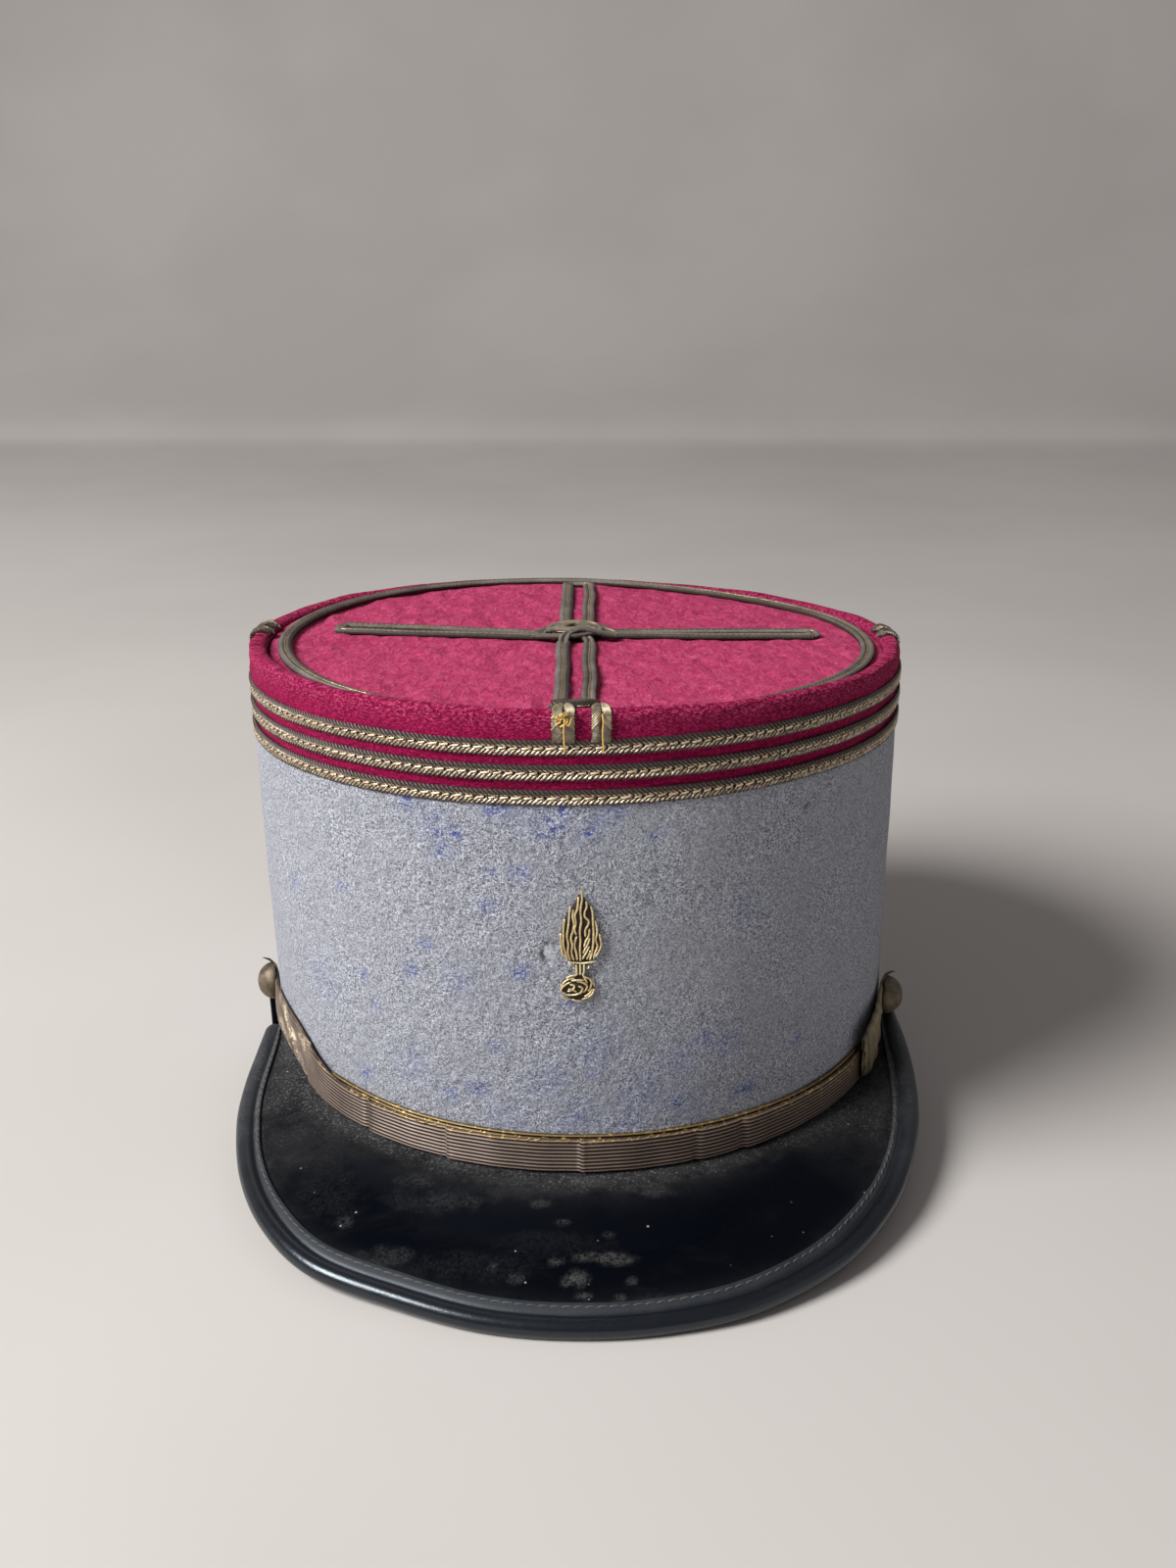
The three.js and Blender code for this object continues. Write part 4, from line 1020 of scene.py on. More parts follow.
def knot_centre():
    x, y = circle(20).T
    steps = ((1, 0.1), (0.95, 0.8), (0.6, 1.0), (0.05, 1.1))
    rings = [on_crown(6.4 * share * x, KNOT_BACK + 5.4 * share * y, up) for share, up in steps]
    parts = [(skin("shade", np.stack(rings)), SHADOW)]
    finishes = {"grey": GREY_THREAD, "tan": TAN_THREAD}
    for number, (tone, strand) in enumerate(KNOT_STRANDS):
        x, y, up = smooth_between(strand, 8).T
        path = on_crown(x, y + KNOT_BACK * np.exp(-np.hypot(x, y) / 8), up)
        parts += braid("strand", path, UP, KNOT_BRAID_WIDE, finishes[tone], False, 80 + number, 1.1, 0.6)
    for line in KNOT_FRAYS:
        x, y, up = smooth_between(line, 6).T
        parts.append((tube("fray", on_crown(x, y + KNOT_BACK, up), 0.13), PALE_THREAD))
    piece("knot_centre_loops", parts, "knot_centre")


knot_centre()

# Uprights: the side in degrees from the front, across in mm from the side's middle, width, and how
# many rows of the fold the braid takes
UPRIGHTS = {
    "front_left": (0, -2.2, 5.2, 5), "front_right": (0, 5.7, 4.4, 5),
    "back_left": (180, 3.9, 4.6, 2), "back_right": (180, -3.9, 4.6, 2),
    "left_front": (-90, 1.6, 4.4, 6), "left_back": (-90, -5.4, 4.4, 6),
    "right_front": (90, -1.6, 4.4, 6), "right_back": (90, 5.4, 4.4, 6),
}
# How far the braid stands out, and drops below the rim, as it folds over
UPRIGHT_FOLD = [(0.1, 3.6), (0.1, 1.9), (-0.25, 0.55), (-1.4, 0.0), (-2.7, -0.2), (-3.9, 0.5)]
UPRIGHT_STEPS = 6
# The loose thread on a front upright: how far below the rim, out and aside it runs
FRONT_THREAD = [
    (0.2, 0.9, 0.1), (1.8, 1.6, 0.25), (4.0, 1.7, 0.1), (6.2, 1.65, 0.2), (7.4, 1.75, 0.35), (8.6, 1.35, 0.2),
]
# The small tangle on the left front upright: its threads, and how far out and down they go
TANGLE_THREADS, TANGLE_OUT, TANGLE_LOW = 9, 1.35, 3.6
UPRIGHT_BRAID = thread_finish(
    "bronze and silver braid", (0.03, 0.022, 0.018), (0.42, 0.35, 0.27), 0.34, 0.6, 800
)
FOLD_BRAID = thread_finish("pale worn braid", (0.22, 0.17, 0.11), (0.66, 0.57, 0.40), 0.36, 0.6, 900)
TANGLE = thread_finish("yellow gold thread", (0.55, 0.36, 0.08), (0.90, 0.62, 0.20), 0.4, 0.45)


def hanging_thread(angle, drops, outs, sway):
    """A loose thread down the crown's side, through drops below the rim."""
    curve = smooth_between(np.stack([drops, outs, sway], 1), 6)
    path = wall_below_rim(angle + curve[:, 2] / CROWN_HALF_WIDTH, curve[:, 0], curve[:, 1])
    return tube("thread", path, 0.2)


def upright(name, turn, across, wide, rows):
    angle = np.array(math.radians(turn) + across / CROWN_HALF_WIDTH)
    rim = rim_point(angle, 0.0)
    foot = CROWN_HEIGHT - CROWN_FALL * rim[1] + GALON_TILT * rim[0] - GALON_DROP + GAP
    points = [wall_point(angle, np.array(foot - 1.6), -1.0), wall_point(angle, np.array(foot), 0.0)]
    points += [wall_below_rim(angle, np.array(drop), out + 0.1) for out, drop in UPRIGHT_FOLD[:rows]]
    path = smooth_between(points, UPRIGHT_STEPS)
    outward = rim_point(angle, 1.0) - rim
    outward[2] = 0
    outward = unit(outward)
    sideways = np.array([-outward[1], outward[0], 0])
    ahead = unit(np.gradient(path, axis=0))
    ups = np.cross(sideways, ahead)
    # The second layer starts where the braid turns over the rim
    if turn == 0:
        fold, finish = 3 * UPRIGHT_STEPS - 2, FOLD_BRAID
    else:
        fold, finish = (3 * UPRIGHT_STEPS + 4 if rows > 3 else 2 * UPRIGHT_STEPS), UPRIGHT_BRAID
    seed = 90 + int(across * 10)
    parts = braid("upright", path, ups, wide, UPRIGHT_BRAID, False, seed, 0.8, 0.6)
    parts += braid("fold", path[fold:], ups[fold:], wide, finish, False, seed, 0.9, 0.6)[1:]
    if turn == 0:
        parts.append((hanging_thread(angle, *np.transpose(FRONT_THREAD)), TANGLE))
    if name == "front_left":
        for _ in range(TANGLE_THREADS):
            spot = draws.uniform([-2.2, 0.2], [1.2, 2.6])
            step = draws.uniform(-1.3, 1.3, (3, 2))
            drops = np.clip(spot[1] + step[:, 0], 0.0, TANGLE_LOW)
            outs = TANGLE_OUT + draws.uniform(0, 0.35, 3)
            parts.append((hanging_thread(angle, drops, outs, spot[0] + step[:, 1]), TANGLE))
    piece("upright_" + name + "_braid", parts, "upright_" + name)


for name, row in UPRIGHTS.items():
    upright(name, *row)

# Badge: gold bullion threads, across and up in mm from the middle of the ball
BALL_HEIGHT, BALL_ACROSS, BADGE_ARC_PER_RADIAN, BULLION_RADIUS = 60.8, 0.6, 87.0, 0.235
FLAME_THREADS = [
    [(0.7, 6.6), (0.6, 8.9), (0.7, 11.5), (0.6, 13.9), (0.9, 16.2), (0.7, 18.3), (0.9, 20.0),
        (1.1, 21.3), (0.9, 23.4)],
    [(0.0, 6.8), (-0.2, 8.4), (-0.6, 10.1), (-0.4, 11.5), (-0.1, 12.5)],
    [(-0.2, 12.7), (-0.6, 14.2), (-0.3, 15.6), (-0.5, 17.3), (0.0, 18.9), (0.2, 20.5), (0.3, 21.7)],
    [(-0.8, 6.8), (-1.3, 8.6), (-1.1, 10.4), (-1.4, 12.1), (-1.0, 13.6), (-0.7, 15.4), (-1.0, 17.0),
        (-0.9, 18.8)],
    [(-1.6, 6.7), (-2.1, 8.6), (-2.0, 10.4), (-2.3, 12.4), (-2.0, 14.8), (-1.8, 16.8), (-1.7, 18.3),
        (-1.5, 19.6)],
    [(-2.2, 6.9), (-2.7, 8.6), (-3.1, 10.4), (-3.1, 12.1), (-3.1, 13.3), (-3.0, 15.1), (-2.8, 16.7)],
    [(-2.6, 7.3), (-3.3, 8.5), (-3.6, 10.4), (-3.7, 11.8), (-3.6, 13.2)],
    [(1.2, 7.0), (1.5, 7.7), (2.1, 8.8), (2.7, 10.1)],
    [(1.3, 8.4), (1.7, 9.4), (2.4, 10.7), (2.8, 12.0)],
    [(1.5, 9.9), (1.9, 11.3), (2.6, 12.7), (2.7, 14.2)],
    [(1.8, 12.4), (1.8, 13.9), (2.4, 15.1), (2.5, 16.2), (1.7, 17.1), (1.7, 18.3), (2.1, 19.4),
        (2.0, 20.8)],
    [(2.8, 6.8), (3.2, 8.3), (3.5, 10.1), (3.6, 12.1), (3.6, 13.9), (3.5, 15.6), (3.4, 18.0),
        (3.0, 19.6)],
    [(2.1, 6.9), (2.6, 8.0), (3.0, 9.2)],
    [(3.6, 7.0), (4.0, 8.6), (4.5, 10.1), (4.1, 11.5), (4.4, 13.3), (4.3, 14.8), (3.9, 16.2)],
    [(4.0, 7.5), (4.7, 8.6), (5.3, 10.1), (5.2, 11.5), (4.9, 13.1)],
    [(-2.2, 6.3), (-0.7, 6.1), (0.9, 6.0), (2.4, 6.2), (4.2, 6.4)],
    [(-0.2, 5.6), (-0.2, 4.5), (-0.1, 3.2)], [(0.65, 5.8), (0.65, 4.5), (0.6, 3.2)],
    [(1.5, 5.8), (1.5, 4.5), (1.4, 3.2)], [(-1.0, 5.2), (-0.8, 5.0), (-0.7, 4.6)], [(2.6, 5.4),
        (2.5, 4.9), (2.3, 4.7)],
]
BALL_THREADS = [
    [(-2.5, 2.4), (-1.5, 3.0), (-0.1, 3.2)], [(-3.7, 0.3), (-3.1, 1.3), (-2.1, 2.1), (-0.6, 2.5)],
    [(-3.8, -1.0), (-3.5, 0.1), (-2.6, 0.9), (-1.5, 1.5)], [(-3.6, -1.5), (-2.9, -2.5), (-1.8, -3.0)],
    [(-3.2, -0.9), (-2.3, -1.6), (-0.7, -1.5), (0.4, -1.1)], [(-1.2, -2.6), (-0.2, -3.0), (0.9, -3.1)],
    [(1.0, -2.8), (2.2, -2.3), (3.3, -1.4), (3.8, -0.2)], [(1.6, -2.0), (2.7, -1.3), (3.4, -0.2)],
    [(2.8, 2.2), (3.2, 1.3), (2.9, 0.1), (2.4, -0.8)], [(1.5, 2.8), (2.6, 2.3), (3.5, 1.4), (3.8, 0.4)],
    [(-1.7, 1.0), (-0.7, 0.7), (-1.0, -0.1), (-2.0, 0.0)], [(-0.3, 1.7), (1.1, 1.5), (2.1, 0.8),
        (2.0, -0.2), (1.2, -1.0)],
    [(0.2, 0.7), (1.1, 0.2), (0.8, -0.9), (0.2, -1.4)], [(-2.2, -0.6), (-1.1, -0.3), (-0.2, -0.8)],
    [(-1.3, 1.9), (-0.1, 2.1), (1.4, 2.0)], [(1.0, 3.6), (1.4, 3.0), (2.2, 1.3)],
]
FLAME_GROUND = [
    (-0.4, 3.0), (-0.7, 5.4), (-3.2, 7.0), (-4.1, 10.0), (-3.9, 13.2), (-3.1, 16.5), (-1.8, 18.9),
    (-0.4, 21.0),
    (0.9, 22.8), (2.1, 20.6), (3.1, 19.2), (4.1, 16.2), (5.2, 13.0), (5.6, 10.0), (4.6, 7.0),
    (2.2, 5.4), (1.8, 3.0),
]


# A bullion thread's points and its ribs, in mm from one to the next
BULLION_STEP, BULLION_RIB = 0.085, 0.34


def on_badge(across, up, proud):
    """Points that stand that far proud of the felt at the badge."""
    across, up = np.asarray(across, float), np.asarray(up, float)
    height = BALL_HEIGHT + up
    return wall_point((across + BALL_ACROSS) / BADGE_ARC_PER_RADIAN, height, GAP * 0.5 + proud)


def bullion(line, proud):
    """A thread wound from fine wire: a tube with small even ribs."""
    rough = smooth_between(line, 8)
    lengths = run_lengths(rough)
    even = np.linspace(0, lengths[-1], max(8, int(lengths[-1] / BULLION_STEP)))
    across, up = (np.interp(even, lengths, rough[:, i]) for i in (0, 1))
    taper = np.minimum(1, np.minimum(even, even[-1] - even) / 0.5 + 0.45)
    lift = proud + 0.12 * np.sin(even * 1.3 + line[0][0] * 5)
    path = on_badge(across, up, lift)
    ribs = 1 + 0.1 * np.sin(even * 2 * np.pi / BULLION_RIB)
    sides, ups = frames_along(path, [0, -1.0, 0.05])
    return sweep("thread", path, sides, ups, circle(8) * (BULLION_RADIUS * taper * ribs)[:, None, None])


def pad(outline, centre, proud, shrink):
    """A low dark pad that fills the ground between the threads: partly their dark underlay, partly painted
    shade in their gaps.
    """
    spread = (smooth_between(outline, 4, True) - centre) * shrink
    rings = []
    for share, lift in ((1.0, 0.0), (0.97, 0.7), (0.8, 1.0), (0.4, 1.15), (0.05, 1.2)):
        rings.append(on_badge(*(centre + spread * share).T, proud * lift))
    return skin("pad", np.stack(rings))


def badge():
    flame = [(pad(FLAME_GROUND, (0.8, 11.0), 0.5, 0.95), SHADOW)]
    flame += [(bullion(line, 0.78), BULLION) for line in FLAME_THREADS]
    piece("badge_flame_bullion", flame, "badge_flame")
    ball = [(pad(circle(12) * [3.75, 3.05], (0, 0), 0.75, 1.0), SHADOW)]
    for line in BALL_THREADS:
        far = math.hypot(*line[len(line) // 2])
        ball.append((bullion(line, 1.25 - 0.12 * far), BULLION))
    piece("badge_ball_bullion", ball, "badge_ball")


badge()

# Peak
BEAD_RADIUS, BEAD_HEIGHT, PEAK_THICK, PEAK_CAMBER, PEAK_RISE = 2.3, 1.53, 1.8, 1.6, 0.6
BEAD_CLIMB, BEAD_ROLL = 0.112, 4.5
PEAK_EDGE = [
    (-85.2, -13), (-85.7, -27), (-85.8, -41), (-84.4, -58), (-79.3, -78.5), (-70.8, -95.6),
    (-58.5, -109.2), (-40, -118.4), (-20, -125.4), (0, -127.6), (20, -126.0), (40, -120.0),
    (59.5, -107), (72.5, -91), (79.8, -76), (84.6, -60), (86.8, -43), (87, -28), (85.6, -13),
]
PEAK_FRONT, PEAK_REACH, CAMBER_SPAN = -127.4, 114.4, 40
# The angle and the rise of the peak's two ends, and the angle from which the seam rises to them
PEAK_END_LEFT, PEAK_END_RIGHT = (math.radians(75.6), 1.2), (math.radians(71.5), 8.5)
PEAK_RISE_START = math.radians(62)
SHEET_SHARE = 0.985
TUCK_FROM, TUCK_RUN, TUCK_HIGH = math.radians(42), math.radians(14), 2.4
peak_curve = smooth_between(PEAK_EDGE, 30)


def peak_frame(way):
    """The seam on the band, the outermost line of the bead, and the directions between them."""
    left = way < 0
    end_angle = np.where(left, PEAK_END_LEFT[0], PEAK_END_RIGHT[0])
    end_rise = np.where(left, PEAK_END_LEFT[1], PEAK_END_RIGHT[1])
    angle = way * end_angle
    t = np.clip((np.abs(angle) - PEAK_RISE_START) / (end_angle - PEAK_RISE_START), 0, 1)
    tucked = np.clip((np.abs(angle) - TUCK_FROM) / TUCK_RUN, 0, 1) * np.where(left, TUCK_HIGH, 0)
    seam = wall_above_brow(angle, PEAK_RISE + tucked + end_rise * t * t * (3 - 2 * t), GAP * 0.5)
    at = (way + 1) / 2 * (len(peak_curve) - 1)
    edge_x, edge_y = (np.interp(at, np.arange(len(peak_curve)), peak_curve[:, i]) for i in (0, 1))
    back = edge_y - PEAK_FRONT
    edge_z = BEAD_HEIGHT + BEAD_CLIMB * back
    edge_z = edge_z + BEAD_ROLL * (edge_x / CROWN_HALF_WIDTH) * (back / PEAK_REACH) ** 2
    edge = np.stack([edge_x, edge_y, edge_z], -1)
    outward = edge - seam
    width = np.linalg.norm(outward, axis=-1)
    outward = outward / width[..., None]
    tangent = unit(np.gradient(edge, axis=0))
    face = unit(np.cross(outward, tangent))
    face = np.where(face[..., 2:] < 0, -face, face)
    return seam, edge, outward, face, width


def camber_over(span):
    """How far the middle of the peak rises over a span from seam to bead."""
    return PEAK_CAMBER * np.minimum(1, span / CAMBER_SPAN)


# Across and down in dots of the photograph's frame, the spread in dots each way, and the strength
STAINS = [
    (587, 1305, 13, 9, 1.0), (600, 1283, 14, 6, 0.7), (628, 1284, 20, 7, 0.9), (568, 1287, 9, 5, 0.7),
    (595, 1323, 9, 3, 0.9), (632, 1325, 6, 3, 0.8), (645, 1307, 6, 4, 0.6), (527, 1305, 8, 5, 0.5),
    (503, 1293, 5, 4, 0.7), (352, 1247, 8, 6, 0.4), (395, 1283, 28, 10, 0.35), (465, 1226, 34, 8, 0.35),
    (425, 1205, 22, 8, 0.35), (550, 1228, 10, 4, 0.6), (662, 1214, 24, 7, 0.7), (620, 1260, 8, 3, 0.4),
    (575, 1247, 9, 3, 0.5), (700, 1190, 30, 5, 0.3), (600, 1205, 40, 5, 0.3), (888, 1112, 24, 34, 0.6),
    (852, 1138, 30, 18, 0.45), (520, 1205, 40, 6, 0.3), (330, 1180, 40, 40, 0.12),
    (480, 1292, 70, 16, 0.14), (560, 1270, 60, 14, 0.1), (440, 1225, 50, 14, 0.18),
    (660, 1200, 40, 8, 0.3), (760, 1180, 40, 8, 0.2), (540, 1215, 60, 8, 0.2),
    (340, 1215, 40, 30, 0.12), (690, 1325, 40, 5, 0.2),
]


def dots_of(points):
    """Where points in mm show in the photograph's frame."""
    far = points - EYE
    depth = far[..., 1] * math.cos(LOOK_DOWN) - far[..., 2] * math.sin(LOOK_DOWN)
    above = far[..., 1] * math.sin(LOOK_DOWN) + far[..., 2] * math.cos(LOOK_DOWN)
    return FRAME_WIDE / 2 + LENS_DOTS * far[..., 0] / depth, FRAME_HIGH / 2 - LENS_DOTS * above / depth


def peak_sheet():
    way = np.linspace(-SHEET_SHARE, SHEET_SHARE, 420)
    seam, _, outward, face, width = peak_frame(way)
    span = width - 2 * BEAD_RADIUS - GAP
    row = np.linspace(0, 1, 61)[None, :, None]
    camber = camber_over(span)[:, None, None]

    def line_at(row):
        flat = seam[:, None] + outward[:, None] * span[:, None, None] * row
        return flat + face[:, None] * 4 * camber * row * (1 - row)

    across = way[:, None] * 100
    waves = 0.07 * np.sin(across * 0.21 + row[..., 0] * 5) + 0.05 * np.sin(across * 0.47 - row[..., 0] * 9)
    calm = np.clip(4 * row[..., 0] * (1 - row[..., 0]), 0, 1)
    top = line_at(row) + face[:, None] * (waves * calm)[..., None]
    under_row = row[:, ::-6]
    through = unit(np.array(UP) * (1 - under_row) + face[:, None] * under_row)
    mesh = skin("peak", np.concatenate([top, line_at(under_row) - through * PEAK_THICK], 1))
    share = row[..., 0]
    dust = 0.95 * bump_at(share, 0, 0.2) + 0.35 * bump_at(share, 1, 0.1)
    side = np.clip((np.abs(way)[:, None] - 0.42) / 0.25, 0, 1)
    dust = dust * np.ones_like(across) + side * (1.0 - 0.55 * share)
    dust = np.clip(dust, 0, 1.1) * np.clip((1 - share) * span[:, None] / 0.9 - 0.2, 0, 1)
    seen_x, seen_y = dots_of(top)
    stain = np.zeros(seen_x.shape)
    ragged = 0.6 * relief(seen_x, seen_y * 1.3, 13, 21) + 0.5 * relief(seen_x, seen_y * 1.3, 6, 22)
    for x, y, wide, high, strength in STAINS:
        far = ((seen_x - x) / wide) ** 2 + ((seen_y - y) / high) ** 2
        stain = np.maximum(stain, strength * np.clip(1.2 - 0.8 * far + ragged, 0, 1) * np.exp(-0.25 * far**2))
    note(mesh, "dust", dust, 0.5)
    note(mesh, "stain", stain)
    piece("peak_leather", [(mesh, PATENT)], "peak")


# The flange's width in mm at shares of the way from the peak's left end to its right end
FLANGE_WIDE = [
    (-1, 1.4), (-0.6, 1.8), (-0.45, 2.8), (-0.3, 3.2), (0, 3.1), (0.38, 3.3), (0.56, 2.1), (0.8, 1.7),
    (1, 1.0),
]


def binding_section(flange):
    """Inward from the bead's outermost line and up, in mm, for one width of the flange."""
    turn = np.radians(np.linspace(-105, 152, 24))
    bead = np.stack([BEAD_RADIUS - BEAD_RADIUS * np.cos(turn), BEAD_RADIUS * np.sin(turn)], 1)
    wide = 2 * BEAD_RADIUS
    flat = [
        (wide * 0.99, 0.62), (wide + flange * 0.08, 0.55), (wide + flange * 0.2, 0.72),
        (wide + flange * 0.35, 0.84), (wide + flange * 0.7, 0.86), (wide + flange * 0.93, 0.8),
        (wide + flange * 0.99, 0.65), (wide + flange, 0.3), (wide, 0.3), (wide, -0.9),
    ]
    return np.concatenate([bead, flat])


def peak_binding():
    way = np.linspace(-1, 1, 360)
    _, edge, outward, face, width = peak_frame(way)
    span = width - 2 * BEAD_RADIUS
    flange = np.minimum(np.interp(way, *zip(*FLANGE_WIDE)), 0.4 * span)
    camber = 4 * camber_over(span) * flange / np.maximum(span, 1)
    sections = np.stack([binding_section(wide) for wide in flange])
    inward, up = sections[..., 0], sections[..., 1]
    # The rolled leather tapers away at its two ends
    taper = np.sqrt(np.clip((1 - np.abs(way)) / 0.022 + 0.12, 0, 1))[:, None]
    inward, up = BEAD_RADIUS + (inward - BEAD_RADIUS) * taper, up * taper
    lift = camber[:, None] * np.maximum(0, inward - 2 * BEAD_RADIUS) / flange[:, None]
    rows = edge[:, None] - outward[:, None] * inward[..., None] + face[:, None] * (up + lift)[..., None]
    mesh = skin("binding", rows)
    ends = np.clip((np.abs(way) - 0.45) / 0.3, 0, 1)[:, None]
    on_flange = np.clip((inward - 2 * BEAD_RADIUS) / 1.0, 0, 1)
    dust = 0.04 + on_flange * (0.2 + 0.32 * ends) + ends * np.where(way < 0, 0.6, 0.55)[:, None]
    note(mesh, "dust", dust, 0.5)
    note(mesh, "stain", 0.0)
    note(mesh, "matt", on_flange)
    parts = [(mesh, WELT)]
    # The seam runs along the flange, at two thirds of its width
    inset = 2 * BEAD_RADIUS + flange * 0.66
    line = edge - outward * inset[:, None] + face * (0.88 + camber * 0.66)[:, None]
    part_sewn = slice(12, -40)
    sewn = threads_along(
        line[part_sewn], face[part_sewn], STITCH, False, 31, 0.12,
        pitch=2.5, advance=1.9, width=0.2, hump=0.2, radius=0.22,
    )
    parts.append((sewn, STITCH))
    # A leather tongue runs up from the left end, under the strap
    path = wall_above_brow(np.radians(np.linspace(-77.0, -79.5, 9)), np.linspace(1.2, 12.2, 9), 2.7)
    flat_way = np.stack([np.linspace(1, 0.75, 9), np.full(9, 1.5)], 1)[:, None]
    ring = np.array([(-1, -0.7), (1, -0.7), (1.2, 0), (1, 0.7), (-1, 0.7), (-1.2, 0)])[None] * flat_way
    outer, inner = (wall_above_brow(np.radians(-76.5), 5.0, out) for out in (1.0, 0.0))
    tongue = sweep("tongue", path, *frames_along(path, outer - inner), ring)
    note(tongue, "dust", 0.0)
    note(tongue, "stain", 0.0)
    parts.append((tongue, PATENT))
    piece("peak_binding_leather", parts, "peak_binding")


peak_sheet()
peak_binding()

# Chin strap: degrees from the front, middle above the brow edge, half width, out from the wall
ARC_PER_RADIAN, STRAP_THICK, RIB_HIGH = 93.0, 0.9, 0.11
STRAP_COLUMNS, KEEPER_COLUMNS = 97, 25
OUTER_STRAP = [
    (-79.8, 21.6, 1.3, 3.4), (-79.7, 21.3, 1.6, 2.5), (-79.5, 20.8, 1.8, 1.5), (-79.2, 20, 2.0, 0.7),
    (-78.7, 18.8, 2.4, 0.2), (-78.0, 17, 2.8, 0), (-76.6, 15.0, 3.1, 0), (-72.5, 14.1, 4.5, 0),
    (-66, 13.3, 6.1, 0), (-57, 11.5, 6.6, 0.2), (-49, 8.1, 5.4, 0.9), (-42, 6.3, 4.5, 1.25),
    (-28, 5.3, 4.1, 1.25), (-14, 5.1, 4.1, 1.25), (0, 5.1, 4.1, 1.25), (14, 5.1, 4.1, 1.25),
    (28, 5.2, 4.1, 1.25), (42, 5.6, 4.1, 1.25), (52, 6.4, 4.1, 1.25), (60, 8, 4.1, 1.25),
]
UNDER_STRAP = [
    (-45, 7.3, 4, 0), (-36, 6.9, 4, 0), (-28, 6.4, 4, 0), (-15, 6.1, 4, 0), (0, 5.9, 4, 0),
    (15, 5.8, 4, 0), (30, 5.9, 4, 0), (45, 6.3, 4, 0), (59, 7.9, 4, 0),
]
KEEPER_ROWS = [
    (54.8, 9.9, 5.8, 2.9), (58, 10.6, 7.5, 2.8), (62.5, 12.0, 7.1, 2.0), (66, 13.4, 5.9, 1.1),
    (69, 14.8, 4.6, 0.4), (71.6, 16.6, 3.7, 0.2), (72.8, 18.4, 2.7, 0.2), (73.3, 20.2, 2.0, 0.6),
    (73.5, 21.2, 1.8, 1.2), (73.6, 21.7, 1.6, 2.0), (73.7, 22.0, 1.3, 2.9),
]


def strap_body(name, table, steps, ribs, extra=None, jag=None):
    """A strip along the wall, with lengthwise ribs on its face."""
    rows = smooth_between(table, steps)
    flat = np.stack([np.radians(rows[:, 0]) * ARC_PER_RADIAN, rows[:, 1]], 1)
    ahead = unit(np.gradient(flat, axis=0))
    shares = np.linspace(-1, 1, STRAP_COLUMNS if ribs else KEEPER_COLUMNS)
    across = shares[None] * rows[:, 2:3]
    face = STRAP_THICK + 0 * across
    if ribs:
        face = face + RIB_HIGH * (np.cos(across * 2 * np.pi / RIB_PITCH) - 1)
    face = face - 0.35 * np.abs(shares[None]) ** 12
    out = rows[:, 3:4] + face
    if extra is not None:
        out = out + extra(rows[:, :1], shares[None])
    run = flat[:, 0][:, None] - ahead[:, 1:] * across
    rise = flat[:, 1][:, None] + ahead[:, :1] * across
    if jag is not None:
        run = run + jag(np.arange(len(rows))[:, None], shares[None])
    top = wall_above_brow(run / ARC_PER_RADIAN, rise, GAP + out)
    back = slice(None, None, -8)
    inner = GAP + np.minimum(rows[:, 3:4], out[:, back] - 0.2)
    under = wall_above_brow(run[:, back] / ARC_PER_RADIAN, rise[:, back], inner)
    return skin(name, np.concatenate([top, under], 1)), rows, flat


# Degrees from the front, how deep in mm, and half the width in degrees
CREASES = [
    (-52.5, 0.5, 0.5), (-35.4, 0.8, 0.45), (-20.5, 0.5, 0.4), (1.0, -0.4, 0.3), (18.7, 0.5, 0.45),
    (26.7, 0.6, 0.5),
]


def outer_bends(degrees, shares):
    """How far the strap's creases and its twisted left end stand out."""
    out = 0.0
    for at, deep, wide in CREASES:
        far = (degrees - at) / wide
        out = out - deep * np.exp(-(far**2)) + 0.22 * np.tanh(far) * bump_at(degrees, at, 6)
    twist = bump_at(degrees, -71, 6.5)
    flat_end = -0.3 * np.clip((-75 - degrees) / 3, 0, 1)
    return out + flat_end + twist * (0.5 - 0.55 * shares) + 0.06 * np.sin(degrees * 0.9)


